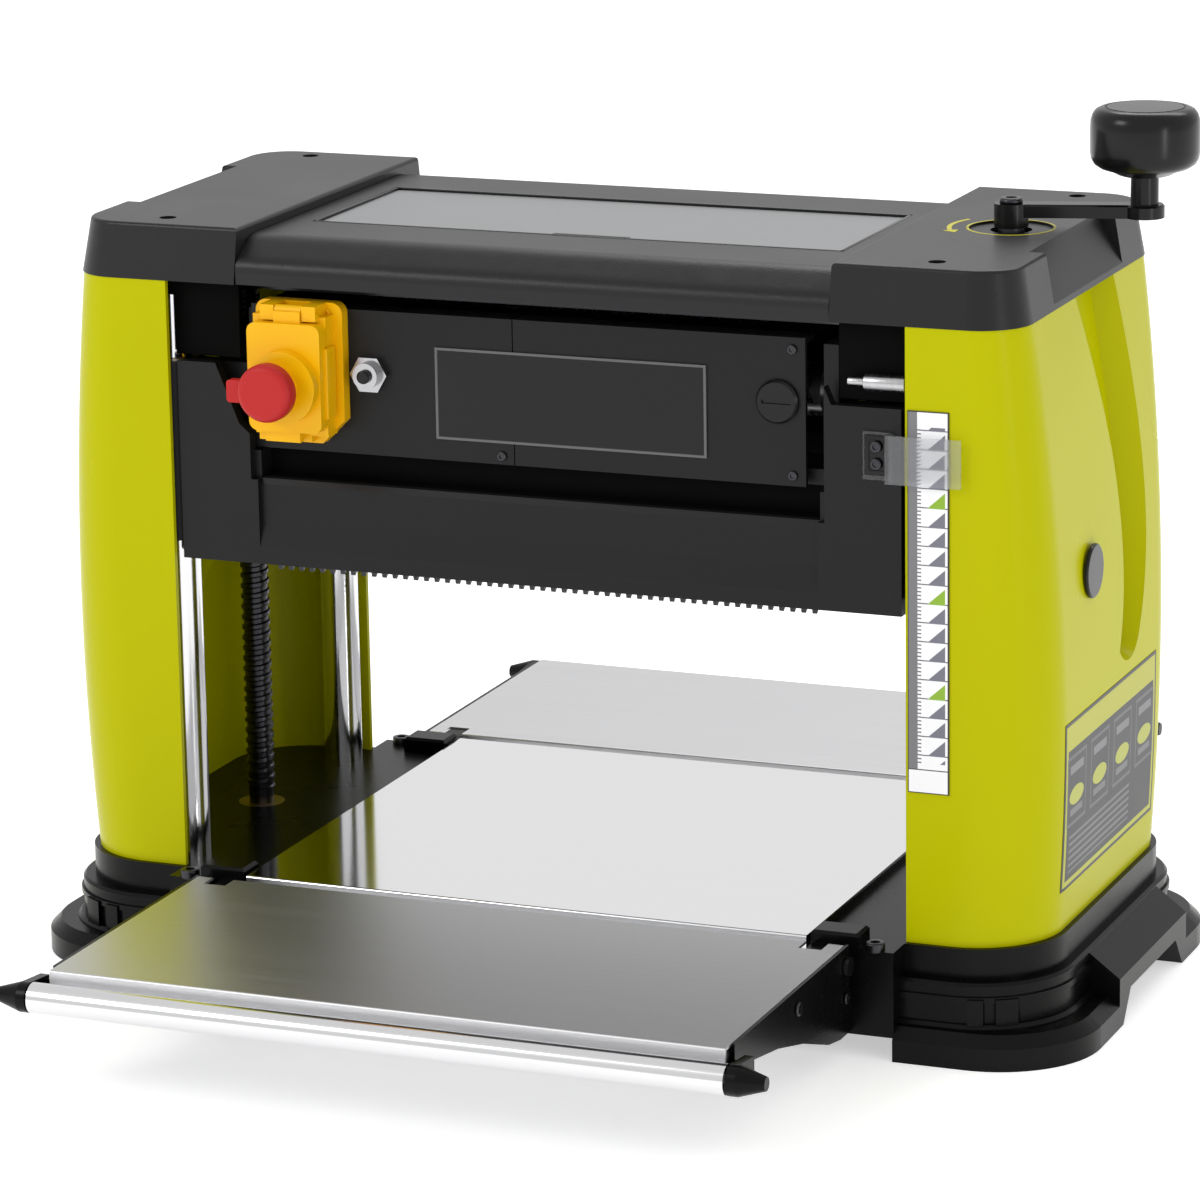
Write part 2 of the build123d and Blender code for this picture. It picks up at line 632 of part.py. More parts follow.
def crank_arm():
    """Crank arm with its hub, its grip stem and the spindle in the grip."""
    arm_top = CRANK_ARM_Z + CRANK_ARM_THICK
    hub = round_z(CRANK_HUB_RADIUS, 0, 0, CRANK_Z, arm_top)
    bar_face = (
        Pos(CRANK_LENGTH / 2, 0) * Rectangle(CRANK_LENGTH, 12)
        + Circle(CRANK_HUB_RADIUS) + Pos(CRANK_LENGTH, 0) * Circle(10.5)
    )
    arm = extrude(Pos(0, 0, CRANK_ARM_Z) * bar_face, CRANK_ARM_THICK)
    arm = chamfer(arm.faces().sort_by(Axis.Z)[-1].edges(), 1.0)
    stem = round_z(7.3, CRANK_LENGTH, 0, arm_top, KNOB_STEM_TOP - CLEAR)
    spindle = round_z(SPINDLE_RADIUS, CRANK_LENGTH, 0, arm_top, KNOB_STEM_TOP + KNOB_HEIGHT - 10)
    body = hub + arm + stem + spindle
    body -= round_z(SCREW_JOURNAL, 0, 0, CRANK_Z - 1, arm_top - 2)
    return crank_place() * body


def crank_knob():
    """Mushroom grip that spins on the crank's spindle."""
    z0, z1 = KNOB_STEM_TOP, KNOB_STEM_TOP + KNOB_HEIGHT
    knob = round_z(KNOB_RADIUS, CRANK_LENGTH, 0, z0, z1)
    knob = fillet(knob.edges().group_by(Axis.Z)[-1], 8)
    knob = fillet(knob.edges().group_by(Axis.Z)[0], 5)
    knob -= round_z(SPINDLE_RADIUS + FIT, CRANK_LENGTH, 0, z0 - 1, z1 - 8)
    return crank_place() * knob


# ---- cutting head ----
def head_casting():
    """Cast head: end plates, aprons, post sleeves and nut arms in one piece."""
    out = HEAD_X + END_PLATE
    cover_back = PANEL_Y - COVER_SHEET
    plate = yz_plate(
        [
            (-APRON_Y + 5, HEAD_BOTTOM + 6), (-APRON_Y + 5, COVER_FOOT - 1), (-cover_back, COVER_FOOT - 1),
            (-cover_back, HOUSING_TOP - 3), (cover_back, HOUSING_TOP - 3), (cover_back, COVER_FOOT - 1),
            (APRON_Y - 5, COVER_FOOT - 1), (APRON_Y - 5, HEAD_BOTTOM + 6),
        ],
        HEAD_X,
        out,
    )
    flange = xz_plate(
        [
            (HEAD_X, HEAD_BOTTOM), (FLANGE_X, HEAD_BOTTOM), (FLANGE_X, HEAD_BOTTOM + FLANGE_HEIGHT),
            (FLANGE_IN + 4, HEAD_BOTTOM + FLANGE_HEIGHT), (FLANGE_IN, HEAD_BOTTOM + FLANGE_HEIGHT + 9),
            (FLANGE_IN, APRON_TOP), (HEAD_X, APRON_TOP),
        ],
        -APRON_Y,
        -APRON_Y + APRON_THICK,
    )
    sleeve = round_z(SLEEVE_RADIUS, POST_X, -POST_Y, HEAD_BOTTOM + 8, HEAD_BOTTOM + 8 + SLEEVE_HEIGHT)
    web = block(out - 1, POST_X, -POST_Y - 4, -POST_Y + 4, HEAD_BOTTOM + 8, HEAD_BOTTOM + 8 + SLEEVE_HEIGHT)
    corner = flange + sleeve + web
    arm = block(out - 1, SCREW_X, SCREW_Y - 2, SCREW_Y + 15, HEAD_BOTTOM + 71, HEAD_BOTTOM + 92)
    arm += round_z(NUT_RADIUS + 5, SCREW_X, SCREW_Y, HEAD_BOTTOM + 71, HEAD_BOTTOM + 92)
    side = plate + corner + rear_of(corner) + arm
    for sy in (-1, 1):
        side -= round_z(BUSH_RADIUS, POST_X, sy * POST_Y, HEAD_BOTTOM, HEAD_BOTTOM + SLEEVE_HEIGHT + 20)
        side -= round_x(
            ROLLER_BLOCK_RADIUS, HEAD_X - 1, out + 1, CUTTER_Y + sy * ROLLER_SPREAD, ROLLER_Z
        )
    side -= round_z(NUT_RADIUS, SCREW_X, SCREW_Y, HEAD_BOTTOM + 60, HEAD_BOTTOM + 100)
    side -= round_x(CUTTER_BEARING_RADIUS, HEAD_X - 1, out + 1, CUTTER_Y, CUTTER_Z)
    side -= round_x(MOTOR_BEARING_RADIUS, HEAD_X - 1, out + 1, MOTOR_Y, MOTOR_Z)
    apron_back = -APRON_Y + APRON_THICK
    apron_face = -APRON_Y + APRON_INSET
    apron = yz_plate(
        [
            (-APRON_Y, HEAD_BOTTOM), (-APRON_Y, HEAD_BOTTOM + 9), (apron_face, HEAD_BOTTOM + 22),
            (apron_face, APRON_TOP - 3), (apron_face + 2, APRON_TOP), (apron_back, APRON_TOP),
            (apron_back, HEAD_BOTTOM),
        ],
        -HEAD_X,
        HEAD_X,
    )
    ledge = block(-HEAD_X, HEAD_X, apron_back - 1, -APRON_Y + 20, APRON_TOP - 4, APRON_TOP)
    recess_back = block(-HEAD_X, HEAD_X, -APRON_Y + 17, -APRON_Y + 20, APRON_TOP, COVER_FOOT + 8)
    skirt = apron + ledge + recess_back
    bridge = block(-HEAD_X, HEAD_X, MOTOR_Y - 12, MOTOR_Y + 12, MOTOR_Z - MOTOR_RADIUS - 9, MOTOR_Z - MOTOR_RADIUS - 1)
    brace = block(-HEAD_X, HEAD_X, 30, 52, HOUSING_TOP - 14, HOUSING_TOP - 6)
    # the left front flange slopes off behind the switch
    slope = xz_plate(
        [
            (-FLANGE_IN + 1, HEAD_BOTTOM + 70), (-FLANGE_IN - 6, HEAD_BOTTOM + 76),
            (-FLANGE_X + 22, HEAD_BOTTOM + FLANGE_HEIGHT + 1), (-FLANGE_X + 22, HEAD_BOTTOM + FLANGE_HEIGHT + 10),
            (-FLANGE_IN + 1, HEAD_BOTTOM + FLANGE_HEIGHT + 10),
        ],
        -APRON_Y - 1,
        -APRON_Y + APRON_THICK + 1,
    )
    left_side = left_of(side) - slope
    return side + left_side + skirt + rear_of(skirt) + bridge + brace


def guide_bushes():
    """Bushes in the head's four sleeves."""
    bushes = []
    z0, z1 = HEAD_BOTTOM + 8, HEAD_BOTTOM + 8 + SLEEVE_HEIGHT
    for sx in (-1, 1):
        for sy in (-1, 1):
            bush = round_z(BUSH_RADIUS, sx * POST_X, sy * POST_Y, z0, z1)
            bushes.append(bush - round_z(POST_RADIUS + FIT, sx * POST_X, sy * POST_Y, z0 - 1, z1 + 1))
    return group(*bushes)


def lift_nuts():
    """Bronze nuts that carry the head on the lifting screws."""
    nuts = []
    for sx in (-1, 1):
        nut = round_z(NUT_RADIUS, sx * SCREW_X, SCREW_Y, HEAD_BOTTOM + 71, HEAD_BOTTOM + 94)
        nut += round_z(NUT_RADIUS + 3.5, sx * SCREW_X, SCREW_Y, HEAD_BOTTOM + 66, HEAD_BOTTOM + 71)
        nuts.append(nut - round_z(SCREW_RADIUS + FIT, sx * SCREW_X, SCREW_Y, HEAD_BOTTOM, COLUMN_TOP))
    return group(*nuts)


def ring_x(outer, inner, x0, x1, y, z):
    """Ring lying along X."""
    return round_x(outer, x0, x1, y, z) - round_x(inner, x0 - 1, x1 + 1, y, z)


def shaft_bearings():
    """Ball bearings of the cutterhead and the motor shaft, as plain rings in the end plates."""
    x0, x1 = HEAD_X, HEAD_X + END_PLATE
    cutter = ring_x(CUTTER_BEARING_RADIUS, CUTTER_JOURNAL + FIT, x0, x1, CUTTER_Y, CUTTER_Z)
    motor = ring_x(MOTOR_BEARING_RADIUS, MOTOR_JOURNAL + FIT, x0, x1, MOTOR_Y, MOTOR_Z)
    return group(cutter, left_of(cutter), motor, left_of(motor))


def roller_blocks():
    """Bearing blocks of the two feed rollers."""
    rings = []
    for sy in (-1, 1):
        ring = ring_x(
            ROLLER_BLOCK_RADIUS, ROLLER_JOURNAL + FIT, HEAD_X, HEAD_X + END_PLATE,
            CUTTER_Y + sy * ROLLER_SPREAD, ROLLER_Z,
        )
        rings += [ring, left_of(ring)]
    return group(*rings)


def motor_housing():
    """Motor can with its field inside."""
    inner = ARMATURE_RADIUS + 1.5
    can = round_x(MOTOR_RADIUS, -118, 116, MOTOR_Y, MOTOR_Z)
    can -= round_x(inner, -119, 117, MOTOR_Y, MOTOR_Z)
    for x in range(-100, 101, 20):
        can -= ring_x(MOTOR_RADIUS + 1, MOTOR_RADIUS - 2, x, x + 8, MOTOR_Y, MOTOR_Z)
    return can


def brush_caps():
    """Screwed caps over the motor's two brushes, front and rear."""
    face = -PANEL_Y
    cap_head = round_y(BRUSH_RADIUS, BRUSH_X, face - 3, face - CLEAR, FITTING_Z)
    cap_head = chamfer(cap_head.edges().group_by(Axis.Y)[0], 1.2)
    cap_head -= block(BRUSH_X - 8, BRUSH_X + 8, face - 4, face - 1.8, FITTING_Z - 1, FITTING_Z + 1)
    front = cap_head + round_y(5.0, BRUSH_X, face - 1, MOTOR_Y - 16, FITTING_Z)
    rear = round_y(5.0, BRUSH_X, MOTOR_Y + 16, MOTOR_Y + 40, FITTING_Z)
    rear += round_y(9.0, BRUSH_X, MOTOR_Y + 38, MOTOR_Y + 44, FITTING_Z)
    return group(front, rear)


def armature():
    """Motor rotor: shaft, lamination stack, commutator and belt pulley."""
    tail = -(HEAD_X + END_PLATE)
    shaft = round_x(MOTOR_JOURNAL, tail - PULLEY_WIDTH - 4, HEAD_X + END_PLATE + 2, MOTOR_Y, MOTOR_Z)
    stack = round_x(ARMATURE_RADIUS, -90, 84, MOTOR_Y, MOTOR_Z)
    commutator = round_x(14.0, 122, 146, MOTOR_Y, MOTOR_Z)
    pulley = round_x(MOTOR_PULLEY_RADIUS, tail - PULLEY_WIDTH - 3, tail - 3, MOTOR_Y, MOTOR_Z)
    return shaft + stack + commutator + pulley


def cutterhead():
    """Two-knife cutterhead with its journals and belt pulley."""
    tail = -(HEAD_X + END_PLATE)
    drum = round_x(CUTTER_RADIUS, -HEAD_X + 3, HEAD_X - 3, CUTTER_Y, CUTTER_Z)
    for sign in (-1, 1):
        drum -= block(
            -HEAD_X, HEAD_X, CUTTER_Y - 4, CUTTER_Y + 4,
            CUTTER_Z + sign * 12, CUTTER_Z + sign * (CUTTER_RADIUS + 2),
        )
    shaft = round_x(CUTTER_JOURNAL, tail - PULLEY_WIDTH - 4, HEAD_X + END_PLATE + 4, CUTTER_Y, CUTTER_Z)
    pulley = round_x(CUTTER_PULLEY_RADIUS, tail - PULLEY_WIDTH - 3, tail - 3, CUTTER_Y, CUTTER_Z)
    return drum + shaft + pulley


def knives():
    """Two knives, each with its clamping gib, in the cutterhead's slots."""
    pieces = []
    for sign in (-1, 1):
        low, high = CUTTER_Z + sign * 12, CUTTER_Z + sign * KNIFE_CIRCLE
        pieces.append(
            block(-HEAD_X + 4, HEAD_X - 4, CUTTER_Y - sign * 4, CUTTER_Y - sign * 2.2, low, high)
        )
        pieces.append(
            block(-HEAD_X + 4, HEAD_X - 4, CUTTER_Y - sign * 2.2, CUTTER_Y + sign * 4, low, high - sign * 3.5)
        )
    return group(*pieces)


def drive_belt():
    """Belt from the motor to the cutterhead, on the left."""
    x0 = -(HEAD_X + END_PLATE) - PULLEY_WIDTH - 2
    lean = atan2(MOTOR_Z - CUTTER_Z, MOTOR_Y - CUTTER_Y)

    def loop(grow):
        small, big = MOTOR_PULLEY_RADIUS + grow, CUTTER_PULLEY_RADIUS + grow
        length = ((MOTOR_Y - CUTTER_Y) ** 2 + (MOTOR_Z - CUTTER_Z) ** 2) ** 0.5
        side = (big - small) / length
        rise = (1 - side * side) ** 0.5
        sleeve = make_face(
            Polyline(
                (big * side, big * rise), (length + small * side, small * rise),
                (length + small * side, -small * rise), (big * side, -big * rise), close=True,
            )
        )
        return sleeve + Circle(big) + Pos(length, 0) * Circle(small)

    band = Rot(0, 0, degrees(lean)) * (loop(CLEAR + BELT_THICK) - loop(CLEAR))
    return extrude(Plane.YZ.offset(x0) * Pos(CUTTER_Y, CUTTER_Z) * band, amount=PULLEY_WIDTH - 2)


def feed_roller(y, grooved):
    """Feed roller with its journals and chain sprocket; the infeed one is grooved."""
    out = HEAD_X + END_PLATE
    roller = round_x(ROLLER_RADIUS, -HEAD_X + 4, HEAD_X - 4, y, ROLLER_Z)
    if grooved:
        for i in range(24):
            angle = 2 * pi * i / 24
            roller -= round_x(
                1.3, -HEAD_X, HEAD_X, y + ROLLER_RADIUS * cos(angle), ROLLER_Z + ROLLER_RADIUS * sin(angle)
            )
    shaft = round_x(ROLLER_JOURNAL, -out - 1.5, out + 10, y, ROLLER_Z)
    wheel = round_x(CHAIN_SPROCKET_RADIUS, out + 3, out + 8, y, ROLLER_Z)
    for i in range(SPROCKET_TEETH):
        angle = 2 * pi * i / SPROCKET_TEETH
        reach = CHAIN_SPROCKET_RADIUS + 0.6
        wheel -= round_x(1.8, out + 2, out + 9, y + reach * cos(angle), ROLLER_Z + reach * sin(angle))
    return roller + shaft + wheel


def feed_chain():
    """Chain that turns both feed rollers together, as one band of its pitch line."""
    x0 = HEAD_X + END_PLATE + 3

    def loop(radius):
        straight = Rectangle(2 * ROLLER_SPREAD, 2 * radius)
        ends = Pos(ROLLER_SPREAD, 0) * Circle(radius) + Pos(-ROLLER_SPREAD, 0) * Circle(radius)
        return straight + ends

    inner = CHAIN_SPROCKET_RADIUS + CLEAR
    face = loop(inner + CHAIN_THICK) - loop(inner)
    return extrude(Plane.YZ.offset(x0) * Pos(CUTTER_Y, ROLLER_Z) * face, amount=5)


def belt_cover():
    """Cover over the belt drive, on the left."""
    x1 = -(HEAD_X + END_PLATE)
    x0 = x1 - PULLEY_WIDTH - 7
    lean = atan2(MOTOR_Z - CUTTER_Z, MOTOR_Y - CUTTER_Y)
    length = ((MOTOR_Y - CUTTER_Y) ** 2 + (MOTOR_Z - CUTTER_Z) ** 2) ** 0.5

    def lobe(small, big):
        sleeve = make_face(
            Polyline((0, big), (length, small), (length, -small), (0, -big), close=True)
        )
        return Rot(0, 0, degrees(lean)) * (sleeve + Circle(big) + Pos(length, 0) * Circle(small))

    small, big = MOTOR_PULLEY_RADIUS + 6, CUTTER_PULLEY_RADIUS + 5
    place = Pos(CUTTER_Y, CUTTER_Z)
    shell = extrude(Plane.YZ.offset(x0) * place * lobe(small, big), amount=x1 - x0)
    hollow = extrude(Plane.YZ.offset(x0 + 2) * place * lobe(small - 2, big - 2), amount=x1 - x0)
    return shell - hollow


def gear_cover():
    """Cover over the feed chain and its reduction gearing, on the right."""
    x0 = HEAD_X + END_PLATE
    half = ROLLER_SPREAD + CHAIN_SPROCKET_RADIUS + 9
    low, high = ROLLER_Z - 22, ROLLER_Z + 44
    shell = block(x0, x0 + 18, CUTTER_Y - half, CUTTER_Y + half, low, high)
    shell = fillet(shell.edges().filter_by(Axis.X), 12)
    hollow = block(x0 - 1, x0 + 16, CUTTER_Y - half + 2, CUTTER_Y + half - 2, low + 2, high - 2)
    return shell - hollow


def housing_cover(x0, x1, openings):
    """One front cover of the head: a face with a folded top and bottom edge."""
    z0, z1 = COVER_FOOT, HOUSING_TOP
    face = block(x0, x1, -PANEL_Y, -PANEL_Y + COVER_SHEET, z0, z1)
    face += block(x0, x1, -PANEL_Y, -PANEL_Y + 14, z1 - COVER_SHEET, z1)
    for hole in openings:
        face -= hole
    return face


def front_panel_left():
    """Left half of the motor cover, which carries the switch and the breaker."""
    x0 = -HEAD_X - 5
    hole = round_y(BREAKER_RADIUS, BREAKER_X, -PANEL_Y - 1, -PANEL_Y + 5, FITTING_Z)
    return housing_cover(x0, SEAM_X - 0.3, [hole])


def front_panel_right():
    """Right half of the motor cover."""
    hole = round_y(6.0, BRUSH_X, -PANEL_Y - 1, -PANEL_Y + 5, FITTING_Z)
    return housing_cover(SEAM_X + 0.3, HEAD_X - 9, [hole])


def rear_cover():
    """Rear cover of the head, with the chip outlet cut in it."""
    x = HEAD_X + END_PLATE
    cover = block(-x, x, PANEL_Y - COVER_SHEET, PANEL_Y, COVER_FOOT + 8 + CLEAR, HOUSING_TOP)
    cover -= block(
        -HOOD_HALF + 6, HOOD_HALF - 6, PANEL_Y - 5, PANEL_Y + 1, HOOD_LOW + 18, HOOD_TOP - 6
    )
    return cover


def dust_hood():
    """Chip hood behind the head with a round hose port."""
    y0 = PANEL_Y
    y1 = y0 + HOOD_DEPTH
    low = COVER_FOOT + 9
    outer = block(-HOOD_HALF, HOOD_HALF, y0, y1, low, HOOD_TOP)
    outer = chamfer(outer.edges().filter_by(Axis.Z).group_by(Axis.Y)[-1], 20)
    inner = block(-HOOD_HALF + HOOD_WALL, HOOD_HALF - HOOD_WALL, y0 - 1, y1 - HOOD_WALL, low + HOOD_WALL,
                  HOOD_TOP - HOOD_WALL)
    inner = chamfer(inner.edges().filter_by(Axis.Z).group_by(Axis.Y)[-1], 19)
    z = (low + HOOD_TOP) / 2
    outer += round_y(PORT_RADIUS, 0, y1 - 1, y1 + PORT_LENGTH, z)
    hood = outer - inner - round_y(PORT_RADIUS - HOOD_WALL, 0, y1 - HOOD_WALL - 1, y1 + PORT_LENGTH + 1, z)
    return hood


def pawl_rod():
    """Rod that the anti-kickback pawls hang on."""
    return round_x(PAWL_ROD_RADIUS, -HEAD_X, HEAD_X, PAWL_Y, PAWL_Z)


def pawls():
    """Row of anti-kickback pawls: sharp fingers that trail towards the rear."""
    y, z = PAWL_Y, PAWL_Z
    head = round_x(4.4, 0, PAWL_THICK, y, z)
    finger = yz_plate(
        [(y - 1.5, z), (y - 1.5, z - 8), (y - 0.5, z - 12), (y + 5.5, z - 7), (y + 4.2, z)], 0, PAWL_THICK
    )
    one = head + finger - round_x(PAWL_ROD_RADIUS + FIT, -1, PAWL_THICK + 1, y, z)
    pitch = PAWL_SPAN / (PAWL_COUNT - 1)
    row = []
    for i in range(PAWL_COUNT):
        row.append(Pos(-PAWL_SPAN / 2 + i * pitch - PAWL_THICK / 2, 0, 0) * one)
    return group(*row)


# ---- switch and fittings ----
def switch_box():
    """Box of the safety switch, open at the front behind the lid."""
    x0, x1 = SWITCH_X - SWITCH_HALF, SWITCH_X + SWITCH_HALF
    face = -PANEL_Y
    plate = block(x0, x1, face - 7, face, SWITCH_LOW, SWITCH_TOP)
    lower_right = plate.edges().filter_by(Axis.Y).group_by(Axis.Z)[0].sort_by(Axis.X)[-1]
    plate = chamfer(lower_right, 13)
    plate = fillet(plate.edges().filter_by(Axis.Y).group_by(Axis.Z)[-1], 6)
    body = block(x0 + 3, x1 - 5, face - SWITCH_DEPTH, face - 6, LID_LOW - 3, SWITCH_TOP - 6)
    body -= block(x0 + 6, x1 - 8, face - SWITCH_DEPTH - 1, face - 10, LID_LOW, SWITCH_TOP - 14)
    body += block(SWITCH_X - 20, SWITCH_X + 9, face - SWITCH_DEPTH + 3, face - 6, SWITCH_LOW + 2, LID_LOW)
    box = plate + body
    lugs = block(SWITCH_X - 16, SWITCH_X - 8, face - SWITCH_DEPTH - 4, face - 6, SWITCH_TOP - 8, SWITCH_TOP)
    lugs += block(SWITCH_X + 8, SWITCH_X + 16, face - SWITCH_DEPTH - 4, face - 6, SWITCH_TOP - 8, SWITCH_TOP)
    box += lugs
    box -= round_x(1.6, x0, x1, face - SWITCH_DEPTH - 1, SWITCH_TOP - 3)
    for z in (STOP_Z, STOP_Z - 18):
        box -= round_y(PUSH_RADIUS + FIT, SWITCH_X, face - 12, face - 4, z)
    return box


def push_button(z, reach):
    """Round push button inside the switch box."""
    face = -PANEL_Y
    button = round_y(PUSH_RADIUS, SWITCH_X, face - reach, face - 4 - PUSH_TRAVEL - 0.5, z)
    return fillet(button.edges().group_by(Axis.Y)[0], 0.8)


def switch_lid():
    """Hinged lid of the switch, with the guide collar of the stop mushroom."""
    x0, x1 = SWITCH_X - SWITCH_HALF + 3, SWITCH_X + SWITCH_HALF - 5
    back = -PANEL_Y - SWITCH_DEPTH - CLEAR
    lid = block(x0, x1, back - LID_THICK, back, LID_LOW, SWITCH_TOP - 9)
    lid = fillet(lid.edges().filter_by(Axis.Y), 5)
    lid -= block(x0 + 3, x1 - 3, back - LID_THICK + 2.5, back + 1, LID_LOW + 3, SWITCH_TOP - 13)
    front = back - LID_THICK
    lid += round_y(STOP_RADIUS + 4, STOP_X + 2, front - COLLAR_LENGTH + 4, front + 1, STOP_Z)
    lid += round_y(PUSH_RADIUS + 5, STOP_X, front - COLLAR_LENGTH, front + 1, STOP_Z)
    lid -= round_y(PUSH_RADIUS + 2, STOP_X, front - COLLAR_LENGTH - 1, back + 1, STOP_Z)
    # hinge tongue between the box's lugs, on its own pin
    pin_y, pin_z = -PANEL_Y - SWITCH_DEPTH - 1, SWITCH_TOP - 3
    tongue = block(SWITCH_X - 7.6, SWITCH_X + 7.6, back - 5, back, SWITCH_TOP - 12, SWITCH_TOP - 3)
    tongue += round_x(3.0, SWITCH_X - 7.6, SWITCH_X + 7.6, pin_y, pin_z)
    pin = round_x(1.55, SWITCH_X - 15, SWITCH_X + 15, pin_y, pin_z)
    latch = block(SWITCH_X - 14, SWITCH_X + 6, back - 5, back, LID_LOW - 6, LID_LOW + 1)
    return lid + tongue + pin + latch


def stop_mushroom():
    """Red stop mushroom that slides in the lid and pushes the stop button."""
    front = -PANEL_Y - SWITCH_DEPTH - CLEAR - LID_THICK - COLLAR_LENGTH
    cap_back = front - STOP_TRAVEL - 1.0
    head = round_y(STOP_RADIUS, STOP_X, cap_back - 9, cap_back, STOP_Z)
    head = fillet(head.edges().group_by(Axis.Y)[0], 4)
    tab = block(STOP_X - STOP_RADIUS - 7, STOP_X - STOP_RADIUS + 3, cap_back - 5, cap_back, STOP_Z - 6, STOP_Z + 6)
    tab = fillet(tab.edges().filter_by(Axis.Y), 2)
    stem = round_y(
        PUSH_RADIUS + 2 - FIT * 2, STOP_X, cap_back - 1, front + LID_THICK + COLLAR_LENGTH - STOP_TRAVEL, STOP_Z
    )
    return head + tab + stem


def breaker_bushing():
    """Threaded bushing and hex nut of the overload breaker."""
    face = -PANEL_Y
    bush = round_y(BREAKER_RADIUS, BREAKER_X, face - 9, face + 7, FITTING_Z)
    nut_face = RegularPolygon(10.5, 6)
    plane = Plane(origin=(BREAKER_X, face, FITTING_Z), x_dir=(1, 0, 0), z_dir=(0, -1, 0))
    nut = extrude(plane * nut_face, amount=4.5)
    return bush + nut - round_y(RESET_RADIUS + FIT, BREAKER_X, face - 10, face + 5, FITTING_Z)


def reset_button():
    """Push-to-reset button of the breaker."""
    button = round_y(RESET_RADIUS, BREAKER_X, -PANEL_Y - 12, -PANEL_Y + 4.5 - RESET_TRAVEL, FITTING_Z)
    return fillet(button.edges().group_by(Axis.Y)[0], 1)


def pointer():
    """Clear height pointer screwed to the right flange, reaching over the scale."""
    y1 = -APRON_Y
    z0, z1 = POINTER_LOW, POINTER_LOW + POINTER_HEIGHT
    foot = block(FLANGE_X - 20, FLANGE_X - 4, y1 - POINTER_THICK, y1, z0, z1)
    step = block(
        FLANGE_X - 5.6, FLANGE_X - 4, -PANEL_HALF_DEPTH - SCALE_THICK - 3 - POINTER_THICK, y1, z0, z1
    )
    flag_y = -PANEL_HALF_DEPTH - SCALE_THICK - 3
    flag = block(FLANGE_X - 5.6, COLUMN_X + 31, flag_y - POINTER_THICK, flag_y, z0, z1)
    clear_part = foot + step + flag
    return clear_part - block(FLANGE_X - 15, FLANGE_X - 10, y1 - 5, y1 + 1, z0 + 4, z1 - 4)


def cord_gland():
    """Gland of the mains lead at the rear of the head."""
    x, z = -HEAD_X + 18, HOUSING_TOP - 26
    gland = round_y(9.0, x, PANEL_Y, PANEL_Y + 6, z) + round_y(6.5, x, PANEL_Y + 5, PANEL_Y + 20, z)
    return gland - round_y(4.0, x, PANEL_Y + 1, PANEL_Y + 21, z)


# ---- folding tables (front one; the rear one is its mirror) ----
def table_plate():
    """Satin sheet of the folding table, with turned-down edges."""
    near = -(BED_DEPTH / 2 + TABLE_GAP)
    far = -TABLE_END_Y
    sheet = block(-TABLE_X, TABLE_X, far, near, BED_TOP - SHEET, BED_TOP)
    near_lip = block(-LUG_IN + 4, LUG_IN - 4, near - SHEET, near, BED_TOP - 6, BED_TOP - SHEET)
    far_lip = block(-TABLE_X, TABLE_X, far, far + SHEET, BED_TOP - 8, BED_TOP - SHEET)
    plate = sheet + near_lip + far_lip
    plate = fillet(plate.edges().filter_by(Axis.X).group_by(Axis.Z)[-1], 1.2)
    # notches that pass the base's hinge lugs when the table folds up
    notch = block(LUG_IN - 1, LUG_IN + LUG_THICK + 1, -HINGE_Y - LUG_RADIUS - 1, near + 1, BED_TOP - 7, BED_TOP + 1)
    return plate - notch - left_of(notch)


def table_rail():
    """Right-hand rail of the folding table with its heel and its roller bracket."""
    top = BED_TOP - SHEET
    heel = -BASE_FACE_Y - 0.5
    far = -TABLE_END_Y + SHEET + CLEAR
    outline = [
        (heel, 14), (heel, 36), (heel - 4, 45), (heel - 4, top), (far + 10, top), (far, top - 1), (far, 44),
        (far + 28, 46.0), (far + 72, 39.0), (far + 108, 30.0), (far + 146, 17.0), (far + 164, 14.0),
    ]
    rail = yz_plate(outline, RAIL_IN, RAIL_IN + RAIL_THICK)
    edge = yz_plate(
        [(heel - 8, 24), (heel - 8, BED_TOP), (far + 6, BED_TOP), (far + 6, 46), (far + 28, 47.5),
         (far + 72, 41), (far + 108, 32.0)],
        RAIL_IN + RAIL_THICK - 0.5, RAIL_OUT,
    )
    edge -= block(RAIL_IN, TABLE_X + CLEAR, far + 1, heel, top, BED_TOP + 1)
    bracket = block(RAIL_IN, END_ROLLER_HALF + 6, far, far + 9, END_ROLLER_Z - 6, END_ROLLER_Z + 3)
    ear_face = make_face(
        Polyline(
            (far + 9, END_ROLLER_Z - 8), (-END_ROLLER_Y, END_ROLLER_Z - 8), (-END_ROLLER_Y, END_ROLLER_Z + 8),
            (far + 9, END_ROLLER_Z + 6), close=True,
        )
    ) + Pos(-END_ROLLER_Y, END_ROLLER_Z) * Circle(8.0)
    ear = extrude(Plane.YZ.offset(END_ROLLER_HALF + 1) * ear_face, amount=5)
    tip = Pos(END_ROLLER_HALF + 13, -END_ROLLER_Y, END_ROLLER_Z) * Rot(0, 90, 0) * Cone(8.0, 3.6, 14)
    rail = rail + edge + bracket + ear + tip
    rail -= round_x(HINGE_PIN_RADIUS + FIT, RAIL_IN - 1, RAIL_OUT + 2, -HINGE_Y, HINGE_Z)
    return rail - round_x(AXLE_RADIUS + FIT, END_ROLLER_HALF, END_ROLLER_HALF + 9, -END_ROLLER_Y, END_ROLLER_Z)


def table_rails():
    """Both rails and the bar that joins them under the sheet."""
    rail = table_rail()
    bar = block(-RAIL_IN - 1, RAIL_IN + 1, -TABLE_END_Y + 3, -TABLE_END_Y + 15, END_ROLLER_Z - 9, BED_TOP - 9)
    return rail + left_of(rail) + bar


